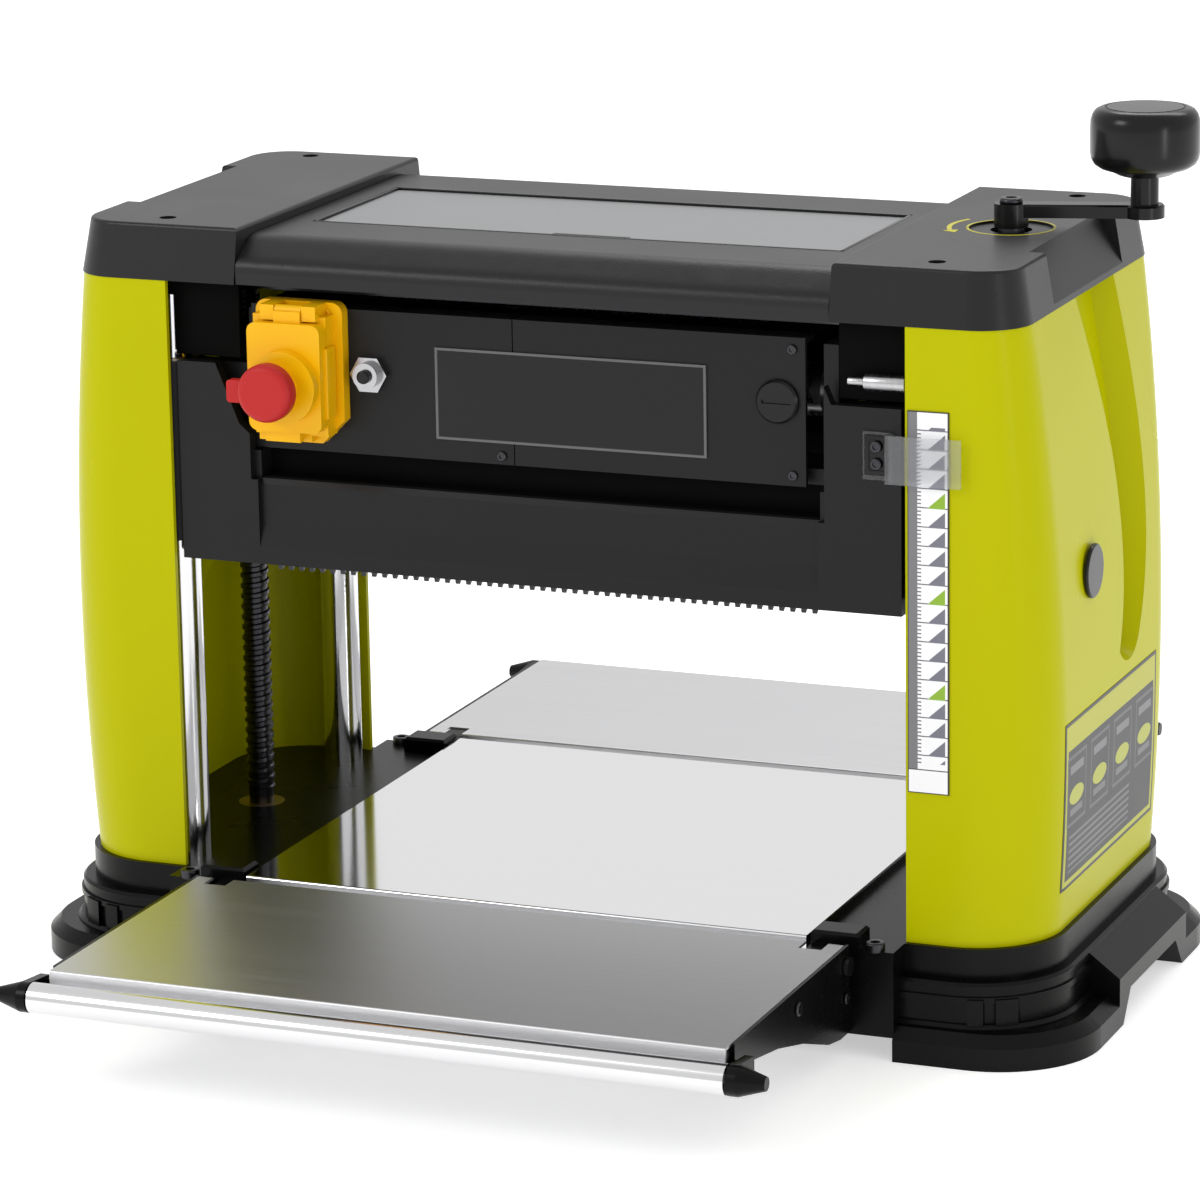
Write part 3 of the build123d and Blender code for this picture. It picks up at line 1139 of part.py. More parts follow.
def end_roller():
    """Chromed roller at the table's far edge."""
    half = END_ROLLER_HALF
    tube = round_x(END_ROLLER_RADIUS, -half, half, -END_ROLLER_Y, END_ROLLER_Z)
    return tube + round_x(AXLE_RADIUS, -half - 8, half + 8, -END_ROLLER_Y, END_ROLLER_Z)


def table_hinge_pins():
    """Headed pins that the two tables fold on."""
    pins = []
    for sy in (-1, 1):
        pin = round_x(HINGE_PIN_RADIUS, LUG_IN + 1, RAIL_OUT + 1, sy * HINGE_Y, HINGE_Z)
        pin += round_x(5.0, RAIL_OUT + CLEAR, RAIL_OUT + 2.6, sy * HINGE_Y, HINGE_Z)
        pins += [pin, left_of(pin)]
    return group(*pins)


# ---- write every part ----
def build_parts():
    """All parts by name."""
    panel, plug = side_panel(), side_plug()
    plate, rails, roller = table_plate(), table_rails(), end_roller()
    switch_reach = SWITCH_DEPTH - 1
    return {
        "base_casting": base_casting(),
        "bed_plate": bed_plate(),
        "guide_posts": guide_posts(),
        "column_heads": column_heads(),
        "cross_rails": cross_rails(),
        "right_side_panel": panel,
        "left_side_panel": left_of(panel),
        "side_plugs": group(plug, left_of(plug)),
        "right_top_cap": cap(True),
        "left_top_cap": left_of(cap(False)),
        "cap_screws": cap_screws(),
        "top_cover": top_cover(),
        "top_tray": top_tray(),
        "scale_strip": scale_strip(),
        "screw_bearings": screw_bearings(),
        "sync_chain": sync_chain(),
        "table_hinge_pins": table_hinge_pins(),
        "right_lead_screw": lead_screw(SCREW_X, CRANK_ARM_Z + CRANK_ARM_THICK - 3),
        "left_lead_screw": lead_screw(-SCREW_X, HEAD_PLATE_Z + HEAD_PLATE_THICK),
        "right_sprocket": sprocket(SCREW_X),
        "left_sprocket": sprocket(-SCREW_X),
        "crank_arm": crank_arm(),
        "crank_knob": crank_knob(),
        "head_casting": head_casting(),
        "guide_bushes": guide_bushes(),
        "lift_nuts": lift_nuts(),
        "shaft_bearings": shaft_bearings(),
        "roller_blocks": roller_blocks(),
        "motor_housing": motor_housing(),
        "brush_caps": brush_caps(),
        "armature": armature(),
        "cutterhead": cutterhead(),
        "knives": knives(),
        "drive_belt": drive_belt(),
        "belt_cover": belt_cover(),
        "infeed_feed_roller": feed_roller(CUTTER_Y - ROLLER_SPREAD, True),
        "outfeed_feed_roller": feed_roller(CUTTER_Y + ROLLER_SPREAD, False),
        "feed_chain": feed_chain(),
        "gear_cover": gear_cover(),
        "front_panel_left": front_panel_left(),
        "front_panel_right": front_panel_right(),
        "rear_cover": rear_cover(),
        "dust_hood": dust_hood(),
        "pawl_rod": pawl_rod(),
        "anti_kickback_pawls": pawls(),
        "switch_box": switch_box(),
        "switch_lid": switch_lid(),
        "stop_mushroom": stop_mushroom(),
        "start_button": push_button(STOP_Z - 18, switch_reach),
        "stop_button": push_button(STOP_Z, switch_reach),
        "breaker_bushing": breaker_bushing(),
        "reset_button": reset_button(),
        "pointer": pointer(),
        "cord_gland": cord_gland(),
        "infeed_table": plate,
        "infeed_table_rails": rails,
        "infeed_end_roller": roller,
        "outfeed_table": rear_of(plate),
        "outfeed_table_rails": rear_of(rails),
        "outfeed_end_roller": rear_of(roller),
    }


os.makedirs("parts", exist_ok=True)
for name, shape in build_parts().items():
    export_step(shape, "parts/" + name + ".step")
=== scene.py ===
# %% [markdown]
# # A benchtop thickness planer
# A cutting head rides on four posts between two lime columns, and a crank on the right cap raises and
# lowers it over a polished bed. The CAD model holds the working parts; this script adds the finishes and
# the small parts that make it look real, placed in metres in the same frame.

import math

import bmesh
import bpy
from mathutils import Matrix, Vector


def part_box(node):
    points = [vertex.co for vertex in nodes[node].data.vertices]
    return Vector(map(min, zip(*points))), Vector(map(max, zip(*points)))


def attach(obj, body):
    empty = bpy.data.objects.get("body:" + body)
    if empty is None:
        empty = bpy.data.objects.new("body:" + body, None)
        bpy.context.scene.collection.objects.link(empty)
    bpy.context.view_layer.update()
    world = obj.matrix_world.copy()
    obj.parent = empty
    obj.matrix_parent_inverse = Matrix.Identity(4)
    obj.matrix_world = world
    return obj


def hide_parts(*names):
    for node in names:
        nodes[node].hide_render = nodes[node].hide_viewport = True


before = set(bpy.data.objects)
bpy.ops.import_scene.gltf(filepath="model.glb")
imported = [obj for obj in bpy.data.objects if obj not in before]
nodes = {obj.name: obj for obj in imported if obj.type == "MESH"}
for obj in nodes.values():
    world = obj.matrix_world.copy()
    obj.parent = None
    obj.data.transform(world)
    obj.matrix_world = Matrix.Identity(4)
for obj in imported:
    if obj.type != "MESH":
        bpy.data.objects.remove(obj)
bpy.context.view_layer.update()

# %% [markdown]
# ## Camera
# A long lens from the front right, a little above, keeps the machine's edges nearly parallel, as in a
# catalogue picture. The position is in metres in the same frame as the CAD model.

# %% Camera
camera_data = bpy.data.cameras.new("catalogue_camera")
camera_data.lens = 162.0
camera_data.sensor_width = 36.0
camera_data.clip_end = 60.0
camera = bpy.data.objects.new("catalogue_camera", camera_data)
bpy.context.scene.collection.objects.link(camera)
camera_place = (1.0724, -2.6434, 0.9165)
yaw, pitch, roll = math.radians(22.29), math.radians(14.21), math.radians(-0.95)
turn = Matrix.Rotation(yaw, 4, "Z") @ Matrix.Rotation(math.pi / 2 - pitch, 4, "X")
turn = turn @ Matrix.Rotation(roll, 4, "Z")
camera.matrix_world = Matrix.Translation(camera_place) @ turn
bpy.context.scene.camera = camera
print("camera at", camera_place, "lens", camera_data.lens, "mm")

# %% [markdown]
# ## Floor and light
# The floor is a large pale sheet that runs out of view, so no horizon shows, and it glows a little, as
# a lit table does, so that shadows stay faint. A white sky and three soft lamps light the machine like a
# catalogue studio, and the standard view keeps the paint colours as mixed.

# %% Floor, lamps and sky
def clear_selection():
    for item in bpy.context.selected_objects:
        item.select_set(False)


clear_selection()
bpy.ops.mesh.primitive_plane_add(size=60.0, location=(0.0, 0.0, 0.0))
floor = bpy.context.active_object
floor.name = "floor"
bpy.context.scene.view_settings.view_transform = "Standard"


def area_lamp(name, place, target, size, power):
    lamp_data = bpy.data.lights.new(name, "AREA")
    lamp_data.shape = "RECTANGLE"
    lamp_data.size, lamp_data.size_y = size
    lamp_data.energy = power
    lamp = bpy.data.objects.new(name, lamp_data)
    bpy.context.scene.collection.objects.link(lamp)
    lamp.location = place
    lamp.rotation_euler = (Vector(target) - Vector(place)).to_track_quat("-Z", "Y").to_euler()


area_lamp("key_left", (-1.9, -2.4, 2.2), (0.0, 0.0, 0.2), (1.2, 1.2), 28.0)
area_lamp("strip_right", (1.9, -1.0, 0.30), (0.22, -0.1, 0.2), (0.16, 0.8), 3.0)
area_lamp("top_rear", (0.2, 1.8, 2.4), (0.0, 0.0, 0.3), (2.4, 0.8), 22.0)

world = bpy.data.worlds.new("studio_sky")
bpy.context.scene.world = world
world.use_nodes = True
sky = world.node_tree.nodes["Background"]
sky.inputs["Color"].default_value = (1.0, 1.0, 1.0, 1.0)
sky.inputs["Strength"].default_value = 0.80

# %% [markdown]
# ## Finishes
# Each finish is one material. What several of them share is a node group made once: the fine grain of
# moulded plastic and paint, and the long scratches of brushed and rolled steel.

# %% Helpers for node trees
def new_material(name):
    material = bpy.data.materials.new(name)
    material.use_nodes = True
    shader = material.node_tree.nodes["Principled BSDF"]
    return material, material.node_tree, shader


def add_node(tree, kind, **values):
    node = tree.nodes.new(kind)
    for key, value in values.items():
        setattr(node, key, value)
    return node


def make_group(name, inputs, outputs):
    group = bpy.data.node_groups.new(name, "ShaderNodeTree")
    for socket, kind, value in inputs:
        item = group.interface.new_socket(name=socket, in_out="INPUT", socket_type=kind)
        if value is not None:
            item.default_value = value
    for socket, kind in outputs:
        group.interface.new_socket(name=socket, in_out="OUTPUT", socket_type=kind)
    return group, add_node(group, "NodeGroupInput"), add_node(group, "NodeGroupOutput")


# %% Grain group
def build_grain_group():
    group, enter, leave = make_group(
        "moulded_grain",
        [("Scale", "NodeSocketFloat", 900.0), ("Depth", "NodeSocketFloat", 0.15),
         ("Roughness", "NodeSocketFloat", 0.4), ("Smudge", "NodeSocketFloat", 0.08)],
        [("Normal", "NodeSocketVector"), ("Roughness", "NodeSocketFloat")],
    )
    place = add_node(group, "ShaderNodeTexCoord")
    grain = add_node(group, "ShaderNodeTexNoise")
    grain.inputs["Detail"].default_value = 2.0
    bump = add_node(group, "ShaderNodeBump")
    bump.inputs["Distance"].default_value = 0.0004
    smudge = add_node(group, "ShaderNodeTexNoise")
    smudge.inputs["Scale"].default_value = 14.0
    smudge.inputs["Detail"].default_value = 5.0
    centre = add_node(group, "ShaderNodeMath", operation="SUBTRACT")
    centre.inputs[1].default_value = 0.5
    amount = add_node(group, "ShaderNodeMath", operation="MULTIPLY_ADD")
    link = group.links.new
    link(place.outputs["Object"], grain.inputs["Vector"])
    link(enter.outputs["Scale"], grain.inputs["Scale"])
    link(grain.outputs["Fac"], bump.inputs["Height"])
    link(enter.outputs["Depth"], bump.inputs["Strength"])
    link(bump.outputs["Normal"], leave.inputs["Normal"])
    link(place.outputs["Object"], smudge.inputs["Vector"])
    link(smudge.outputs["Fac"], centre.inputs[0])
    link(centre.outputs[0], amount.inputs[0])
    link(enter.outputs["Smudge"], amount.inputs[1])
    link(enter.outputs["Roughness"], amount.inputs[2])
    link(amount.outputs[0], leave.inputs["Roughness"])
    return group


grain_group = build_grain_group()


def grained(name, colour, roughness, depth=0.15, scale=900.0, smudge=0.1, metallic=0.0, **sockets):
    material, tree, shader = new_material(name)
    shader.inputs["Base Color"].default_value = (*colour, 1.0)
    shader.inputs["Metallic"].default_value = metallic
    for socket, value in sockets.items():
        shader.inputs[socket.replace("_", " ")].default_value = value
    grain = add_node(tree, "ShaderNodeGroup", node_tree=grain_group)
    grain.inputs["Scale"].default_value = scale
    grain.inputs["Depth"].default_value = depth
    grain.inputs["Roughness"].default_value = roughness
    grain.inputs["Smudge"].default_value = smudge
    tree.links.new(grain.outputs["Normal"], shader.inputs["Normal"])
    tree.links.new(grain.outputs["Roughness"], shader.inputs["Roughness"])
    return material


# %% Brushed group
def build_brushed_group():
    group, enter, leave = make_group(
        "brushed_lines",
        [("Along", "NodeSocketVector", (6.0, 600.0, 600.0)), ("Depth", "NodeSocketFloat", 0.05),
         ("Roughness", "NodeSocketFloat", 0.3), ("Spread", "NodeSocketFloat", 0.1),
         ("Streak", "NodeSocketFloat", 0.1)],
        [("Normal", "NodeSocketVector"), ("Roughness", "NodeSocketFloat"), ("Shade", "NodeSocketFloat")],
    )
    place = add_node(group, "ShaderNodeTexCoord")
    stretch = add_node(group, "ShaderNodeVectorMath", operation="MULTIPLY")
    lines = add_node(group, "ShaderNodeTexNoise")
    lines.inputs["Scale"].default_value = 1.0
    lines.inputs["Detail"].default_value = 3.0
    bump = add_node(group, "ShaderNodeBump")
    bump.inputs["Distance"].default_value = 0.0002
    centre = add_node(group, "ShaderNodeMath", operation="SUBTRACT")
    centre.inputs[1].default_value = 0.5
    amount = add_node(group, "ShaderNodeMath", operation="MULTIPLY_ADD")
    shade = add_node(group, "ShaderNodeMath", operation="MULTIPLY_ADD")
    shade.inputs[2].default_value = 1.0
    link = group.links.new
    link(place.outputs["Object"], stretch.inputs[0])
    link(enter.outputs["Along"], stretch.inputs[1])
    link(stretch.outputs[0], lines.inputs["Vector"])
    link(lines.outputs["Fac"], bump.inputs["Height"])
    link(enter.outputs["Depth"], bump.inputs["Strength"])
    link(bump.outputs["Normal"], leave.inputs["Normal"])
    link(lines.outputs["Fac"], centre.inputs[0])
    link(centre.outputs[0], amount.inputs[0])
    link(enter.outputs["Spread"], amount.inputs[1])
    link(enter.outputs["Roughness"], amount.inputs[2])
    link(amount.outputs[0], leave.inputs["Roughness"])
    link(centre.outputs[0], shade.inputs[0])
    link(enter.outputs["Streak"], shade.inputs[1])
    link(shade.outputs[0], leave.inputs["Shade"])
    return group


brushed_group = build_brushed_group()


def brushed(name, colour, roughness, along, depth=0.05, spread=0.12, streak=0.3):
    material, tree, shader = new_material(name)
    shader.inputs["Metallic"].default_value = 1.0
    lines = add_node(tree, "ShaderNodeGroup", node_tree=brushed_group)
    lines.inputs["Along"].default_value = along
    lines.inputs["Depth"].default_value = depth
    lines.inputs["Roughness"].default_value = roughness
    lines.inputs["Spread"].default_value = spread
    lines.inputs["Streak"].default_value = streak
    tint = add_node(tree, "ShaderNodeMix", data_type="RGBA", blend_type="MULTIPLY")
    tint.inputs["Factor"].default_value = 1.0
    tint.inputs[6].default_value = (*colour, 1.0)
    link = tree.links.new
    link(lines.outputs["Shade"], tint.inputs[7])
    link(tint.outputs[2], shader.inputs["Base Color"])
    link(lines.outputs["Normal"], shader.inputs["Normal"])
    link(lines.outputs["Roughness"], shader.inputs["Roughness"])
    return material


# %% Plastics, paints and metals
lime = grained("lime_plastic", (0.46, 0.455, 0.0), 0.26, depth=0.02, Specular_IOR_Level=0.06)
cap_black = grained("cap_plastic", (0.007, 0.007, 0.0074), 0.36, depth=0.2, Specular_IOR_Level=0.34)
base_black = grained("base_paint", (0.002, 0.002, 0.0022), 0.27, depth=0.14, Specular_IOR_Level=0.14)
head_black = grained("head_paint", (0.0065, 0.0066, 0.007), 0.42, depth=0.12, Specular_IOR_Level=0.24)
deep_black = grained("smooth_black", (0.004, 0.004, 0.0042), 0.24, depth=0.03, Specular_IOR_Level=0.28)
# Matte deep black: painted shade in the slot behind the covers; the post shrouds and motor shield use it
# too.
recess_black = grained("recess_black", (0.002, 0.002, 0.002), 0.7, depth=0.05, Specular_IOR_Level=0.05)
tray_grey = grained("tray_plate", (0.27, 0.275, 0.28), 0.42, depth=0.05, metallic=0.2)
mirror_steel = brushed("polished_steel", (0.93, 0.93, 0.94), 0.09, (3.0, 300.0, 300.0), 0.004, 0.04, 0.03)
satin_steel = brushed("satin_steel", (0.66, 0.66, 0.67), 0.40, (4.0, 700.0, 700.0), 0.03, 0.12, 0.16)
chrome = brushed("chrome", (0.72, 0.72, 0.73), 0.13, (500.0, 500.0, 12.0), 0.01, 0.06, 0.1)
nut_chrome = brushed("nut_chrome", (0.42, 0.42, 0.43), 0.16, (200.0, 200.0, 200.0), 0.02, 0.06, 0.2)
roller_chrome = brushed("roller_chrome", (0.78, 0.78, 0.79), 0.16, (8.0, 500.0, 500.0), 0.01, 0.06, 0.1)
dark_steel = brushed("oiled_steel", (0.055, 0.055, 0.06), 0.32, (300.0, 300.0, 300.0), 0.1)
machined = brushed("machined_steel", (0.5, 0.5, 0.51), 0.28, (400.0, 60.0, 60.0), 0.06)
bronze = brushed("bronze", (0.5, 0.36, 0.18), 0.35, (300.0, 300.0, 300.0), 0.08)
rubber = grained("rubber", (0.02, 0.02, 0.02), 0.6, depth=0.3, scale=500.0)
yellow = grained("yellow_plastic", (0.86, 0.46, 0.0), 0.32, depth=0.05, Specular_IOR_Level=0.25)
red = grained("red_plastic", (0.47, 0.02, 0.02), 0.42, depth=0.05, Specular_IOR_Level=0.2)
green = grained("green_plastic", (0.02, 0.3, 0.06), 0.35, depth=0.05)
mark_yellow = grained("mark_yellow", (0.62, 0.55, 0.0), 0.45, depth=0.03)
border_grey = grained("label_border", (0.10, 0.10, 0.105), 0.4, depth=0.03)
clear = grained("clear_plastic", (0.7, 0.71, 0.74), 0.12, depth=0.01, Transmission_Weight=0.85, Alpha=0.5)
print(len(bpy.data.materials), "finishes mixed")


# %% Helpers for printed patterns
def wire_math(tree, operation, first, second=None, third=None):
    step = add_node(tree, "ShaderNodeMath", operation=operation)
    for index, value in enumerate((first, second, third)):
        if value is None:
            continue
        if isinstance(value, (int, float)):
            step.inputs[index].default_value = value
        else:
            tree.links.new(value, step.inputs[index])
    return step.outputs[0]


def both(tree, first, second):
    return wire_math(tree, "MULTIPLY", first, second)


def between(tree, value, low, high):
    above = wire_math(tree, "GREATER_THAN", value, low)
    return both(tree, above, wire_math(tree, "LESS_THAN", value, high))


def share(tree, value, low, high):
    """How far a value lies between two bounds, from 0 to 1."""
    return wire_math(tree, "DIVIDE", wire_math(tree, "SUBTRACT", value, low), high - low)


def laid_over(tree, under, mask, colour):
    mix = add_node(tree, "ShaderNodeMix", data_type="RGBA")
    tree.links.new(mask, mix.inputs["Factor"])
    if isinstance(under, tuple):
        mix.inputs[6].default_value = (*under, 1.0)
    else:
        tree.links.new(under, mix.inputs[6])
    mix.inputs[7].default_value = (*colour, 1.0)
    return mix.outputs[2]


def place_axes(tree):
    place = add_node(tree, "ShaderNodeTexCoord")
    split = add_node(tree, "ShaderNodeSeparateXYZ")
    tree.links.new(place.outputs["Object"], split.inputs[0])
    return split.outputs


# %% [markdown]
# ## The printed scale
# The strip is a white film with a grey band, a tick every two millimetres and a wedge every centimetre. The
# print could be an image, but sums on the strip's own height draw it sharp at any distance.

# %% Scale print
strip_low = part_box("scale_strip")[0]
CENTIMETRE = 0.01
SCALE_FOOT, SCALE_HEAD = 0.016, 0.192
BAND_WIDTH = 0.0052
WEDGE_LEFT, WEDGE_RIGHT = 0.0105, 0.0200


def scale_film():
    material = grained("scale_film", (0.8, 0.8, 0.8), 0.35, depth=0.02)
    tree = material.node_tree
    axes = place_axes(tree)
    x = wire_math(tree, "SUBTRACT", axes[0], strip_low[0])
    z = wire_math(tree, "SUBTRACT", axes[2], strip_low[2])
    print_area = between(tree, z, SCALE_FOOT, SCALE_HEAD)
    height = wire_math(tree, "DIVIDE", z, CENTIMETRE)
    in_centimetre = wire_math(tree, "FRACT", height)
    across = share(tree, x, WEDGE_LEFT, WEDGE_RIGHT)
    wedge = wire_math(tree, "LESS_THAN", in_centimetre, wire_math(tree, "MULTIPLY", across, 0.85))
    wedge = both(tree, both(tree, wedge, between(tree, across, 0.0, 1.0)), print_area)
    count = wire_math(tree, "DIVIDE", wire_math(tree, "FLOOR", height), 5.0)
    fifth = wire_math(tree, "LESS_THAN", wire_math(tree, "FRACT", count), 0.1)
    line = both(tree, wire_math(tree, "LESS_THAN", in_centimetre, 0.06), print_area)
    line = both(tree, line, wire_math(tree, "GREATER_THAN", x, 0.0065))
    band = wire_math(tree, "LESS_THAN", x, BAND_WIDTH)
    band = both(tree, band, wire_math(tree, "GREATER_THAN", z, 0.0125))
    step = wire_math(tree, "FRACT", wire_math(tree, "DIVIDE", z, 0.002))
    tick = both(tree, wire_math(tree, "LESS_THAN", step, 0.35), between(tree, x, BAND_WIDTH, 0.0072))
    tick = both(tree, tick, print_area)
    inside = both(tree, between(tree, x, 0.0004, 0.0213), between(tree, z, 0.0005, 0.1995))
    outline = wire_math(tree, "SUBTRACT", 1.0, inside)
    paint = (0.86, 0.86, 0.87)
    for mask, colour in (
        (band, (0.17, 0.17, 0.18)),
        (tick, (0.12, 0.12, 0.13)),
        (line, (0.1, 0.1, 0.11)),
        (wedge, (0.16, 0.16, 0.2)),
        (both(tree, wedge, fifth), (0.24, 0.42, 0.02)),
        (outline, (0.02, 0.02, 0.02)),
        (between(tree, z, 0.0122, 0.0128), (0.05, 0.05, 0.05)),
    ):
        paint = laid_over(tree, paint, mask, colour)
    tree.links.new(paint, tree.nodes["Principled BSDF"].inputs["Base Color"])
    return material


scale_print = scale_film()
print("scale strip starts at", [round(v, 4) for v in strip_low])

# %% Give each CAD part its finish
finish_of = {
    lime: ["left_side_panel", "right_side_panel"],
    cap_black: ["left_top_cap", "right_top_cap", "top_cover"],
    base_black: ["base_casting", "infeed_table_rails", "outfeed_table_rails"],
    head_black: ["head_casting", "front_panel_left", "front_panel_right", "rear_cover", "dust_hood",
                 "belt_cover", "gear_cover"],
    deep_black: ["side_plugs", "brush_caps", "crank_arm", "crank_knob", "cord_gland", "reset_button"],
    tray_grey: ["top_tray"],
    mirror_steel: ["bed_plate"],
    satin_steel: ["infeed_table", "outfeed_table"],
    chrome: ["guide_posts", "knives"],
    nut_chrome: ["breaker_bushing"],
    roller_chrome: ["infeed_end_roller", "outfeed_end_roller"],
    dark_steel: ["left_lead_screw", "right_lead_screw", "column_heads", "cross_rails", "cap_screws",
                 "sync_chain", "table_hinge_pins", "feed_chain", "anti_kickback_pawls"],
    machined: ["left_sprocket", "right_sprocket", "cutterhead", "motor_housing", "armature", "pawl_rod",
               "shaft_bearings"],
    bronze: ["screw_bearings", "lift_nuts", "guide_bushes", "roller_blocks"],
    rubber: ["infeed_feed_roller", "outfeed_feed_roller", "drive_belt"],
    yellow: ["switch_box", "switch_lid"],
    red: ["stop_mushroom", "stop_button"],
    green: ["start_button"],
    scale_print: ["scale_strip"],
    clear: ["pointer"],
}
for material, names in finish_of.items():
    for name in names:
        nodes[name].data.materials.clear()
        nodes[name].data.materials.append(material)
print(sum(len(names) for names in finish_of.values()), "CAD parts finished of", len(nodes))

floor_paint, _, floor_shader = new_material("studio_floor")
floor_shader.inputs["Base Color"].default_value = (0.85, 0.85, 0.85, 1.0)
floor_shader.inputs["Emission Color"].default_value = (1.0, 1.0, 1.0, 1.0)
floor_shader.inputs["Emission Strength"].default_value = 0.5
floor_shader.inputs["Roughness"].default_value = 0.9
floor_shader.inputs["Specular IOR Level"].default_value = 0.0
floor.data.materials.append(floor_paint)


# %% [markdown]
# ## Bench tools
# The small parts are modelled as by hand: a primitive at its size and place, worked in edit mode, then
# finished by modifiers. These helpers hold the strokes that come back for every part.

# %% Modelling helpers
def take(piece):
    clear_selection()
    piece.select_set(True)
    bpy.context.view_layer.objects.active = piece


def settle(piece, name, body, material, angle=35.0):
    take(piece)
    bpy.ops.object.transform_apply(location=True, rotation=True, scale=True)
    bpy.ops.object.shade_smooth_by_angle(angle=math.radians(angle))
    piece.name = name
    piece.data.name = name
    piece.data.materials.clear()
    piece.data.materials.append(material)
    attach(piece, body)
    return piece


def soften(piece, width, segments=3):
    take(piece)
    bevel = piece.modifiers.new("soft_edge", "BEVEL")
    bevel.width = width
    bevel.segments = segments
    bevel.limit_method = "ANGLE"
    bpy.ops.object.modifier_apply(modifier=bevel.name)


def slab(low, high, width=0.0005):
    clear_selection()
    middle = [(a + b) / 2 for a, b in zip(low, high)]
    bpy.ops.mesh.primitive_cube_add(size=1.0, location=middle)
    piece = bpy.context.active_object
    piece.scale = [abs(b - a) for a, b in zip(low, high)]
    bpy.ops.object.transform_apply(location=True, rotation=True, scale=True)
    soften(piece, width)
    return piece


AXIS_TURN = {"X": (0.0, math.pi / 2, 0.0), "Y": (math.pi / 2, 0.0, 0.0), "Z": (0.0, 0.0, 0.0)}


def rod(radius, length, place, axis, width=0.0004, sides=32):
    clear_selection()
    bpy.ops.mesh.primitive_cylinder_add(
        radius=radius, depth=length, vertices=sides, location=place, rotation=AXIS_TURN[axis]
    )
    piece = bpy.context.active_object
    bpy.ops.object.transform_apply(location=True, rotation=True, scale=True)
    soften(piece, width)
    return piece


def press_in(piece, direction, steps):
    """Inset the faces that look one way, once for each (thickness, depth) pair."""
    take(piece)
    bpy.ops.object.mode_set(mode="EDIT")
    mesh = bmesh.from_edit_mesh(piece.data)
    outermost = max(face.calc_center_median().dot(direction) for face in mesh.faces)
    for face in mesh.faces:
        at_top = face.calc_center_median().dot(direction) > outermost - 1e-5
        face.select = at_top and face.normal.dot(direction) > 0.99
    bmesh.update_edit_mesh(piece.data)
    for thickness, depth in steps:
        bpy.ops.mesh.inset(thickness=thickness, depth=depth)
    bpy.ops.object.mode_set(mode="OBJECT")


def screw_head(name, place, axis, sign, radius, body, material=None):
    """Pan head with a round driver recess; sign says which way along the axis it looks."""
    height = radius * 0.55
    piece = rod(radius, height, place, axis, radius * 0.22, 20)
    direction = Vector([sign if letter == axis else 0.0 for letter in "XYZ"])
    press_in(piece, direction, [(radius * 0.28, 0.0), (radius * 0.04, -height * 0.5)])
    return settle(piece, name, body, material or dark_steel)


def profile_line(name, profile):
    """Open line through (radius, height) points, ready to be swept about Z."""
    mesh = bpy.data.meshes.new(name)
    edges = [(i, i + 1) for i in range(len(profile) - 1)]
    mesh.from_pydata([(radius, 0.0, height) for radius, height in profile], edges, [])
    piece = bpy.data.objects.new(name, mesh)
    bpy.context.scene.collection.objects.link(piece)
    take(piece)
    return piece


def turned(profile, steps=48):
    """Solid of revolution about Z from (radius, height) points that start and end on the axis."""
    piece = profile_line("turned", profile)
    lathe = piece.modifiers.new("lathe", "SCREW")
    lathe.steps = steps
    lathe.render_steps = steps
    lathe.use_merge_vertices = True
    lathe.merge_threshold = 1e-6
    bpy.ops.object.modifier_apply(modifier=lathe.name)
    bpy.ops.object.mode_set(mode="EDIT")
    bpy.ops.mesh.select_all(action="SELECT")
    bpy.ops.mesh.remove_doubles(threshold=1e-6)
    bpy.ops.mesh.normals_make_consistent(inside=False)
    bpy.ops.object.mode_set(mode="OBJECT")
    return piece


# %% [markdown]
# ## Lifting screws
# A lifting screw has one long helical groove. A ring groove looks the same from far away, yet it shows no
# lead close up, so one turn of the thread's profile is swept by the Screw modifier.

# %% Threads
PITCH = 0.006
THREAD_DEPTH = 0.0012
THREAD_FOOT, THREAD_TOP = 0.0595, 0.366


def threaded_screw(node, body):
    low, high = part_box(node)
    centre_x, centre_y = (low[0] + high[0]) / 2, (low[1] + high[1]) / 2
    crest = (high[0] - low[0]) / 2
    root = crest - THREAD_DEPTH
    turns = int((THREAD_TOP - THREAD_FOOT) / PITCH) - 1
    profile = [(crest, 0.0), (crest, 0.0020), (root, 0.0029), (root, 0.0048), (crest, PITCH)]
    thread = profile_line("thread", profile)
    sweep = thread.modifiers.new("sweep", "SCREW")
    sweep.steps = 28
    sweep.render_steps = 28
    sweep.screw_offset = PITCH
    sweep.iterations = turns
    sweep.use_merge_vertices = True
    sweep.merge_threshold = 2e-5
    bpy.ops.object.modifier_apply(modifier=sweep.name)
    bpy.ops.object.mode_set(mode="EDIT")
    bpy.ops.mesh.select_all(action="SELECT")
    bpy.ops.mesh.remove_doubles(threshold=2e-5)
    for height, keep_above in ((PITCH * 1.2, True), (PITCH * (turns - 0.2), False)):
        bpy.ops.mesh.select_all(action="SELECT")
        bpy.ops.mesh.bisect(
            plane_co=(0.0, 0.0, height), plane_no=(0.0, 0.0, 1.0), use_fill=True,
            clear_inner=keep_above, clear_outer=not keep_above,
        )
    bpy.ops.mesh.select_all(action="SELECT")
    bpy.ops.mesh.normals_make_consistent(inside=False)
    bpy.ops.object.mode_set(mode="OBJECT")
    thread.location = (centre_x, centre_y, THREAD_FOOT)
    bpy.ops.object.transform_apply(location=True, rotation=True, scale=True)
    middle = (centre_x, centre_y, (low[2] + high[2]) / 2)
    core = rod(crest - 0.001, high[2] - low[2], middle, "Z", 0.0006)
    thread.select_set(True)
    bpy.context.view_layer.objects.active = core
    bpy.ops.object.join()
    piece = settle(core, node + "_threaded", body, dark_steel)
    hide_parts(node)
    print(piece.name, "turns", turns, "faces", len(piece.data.polygons))


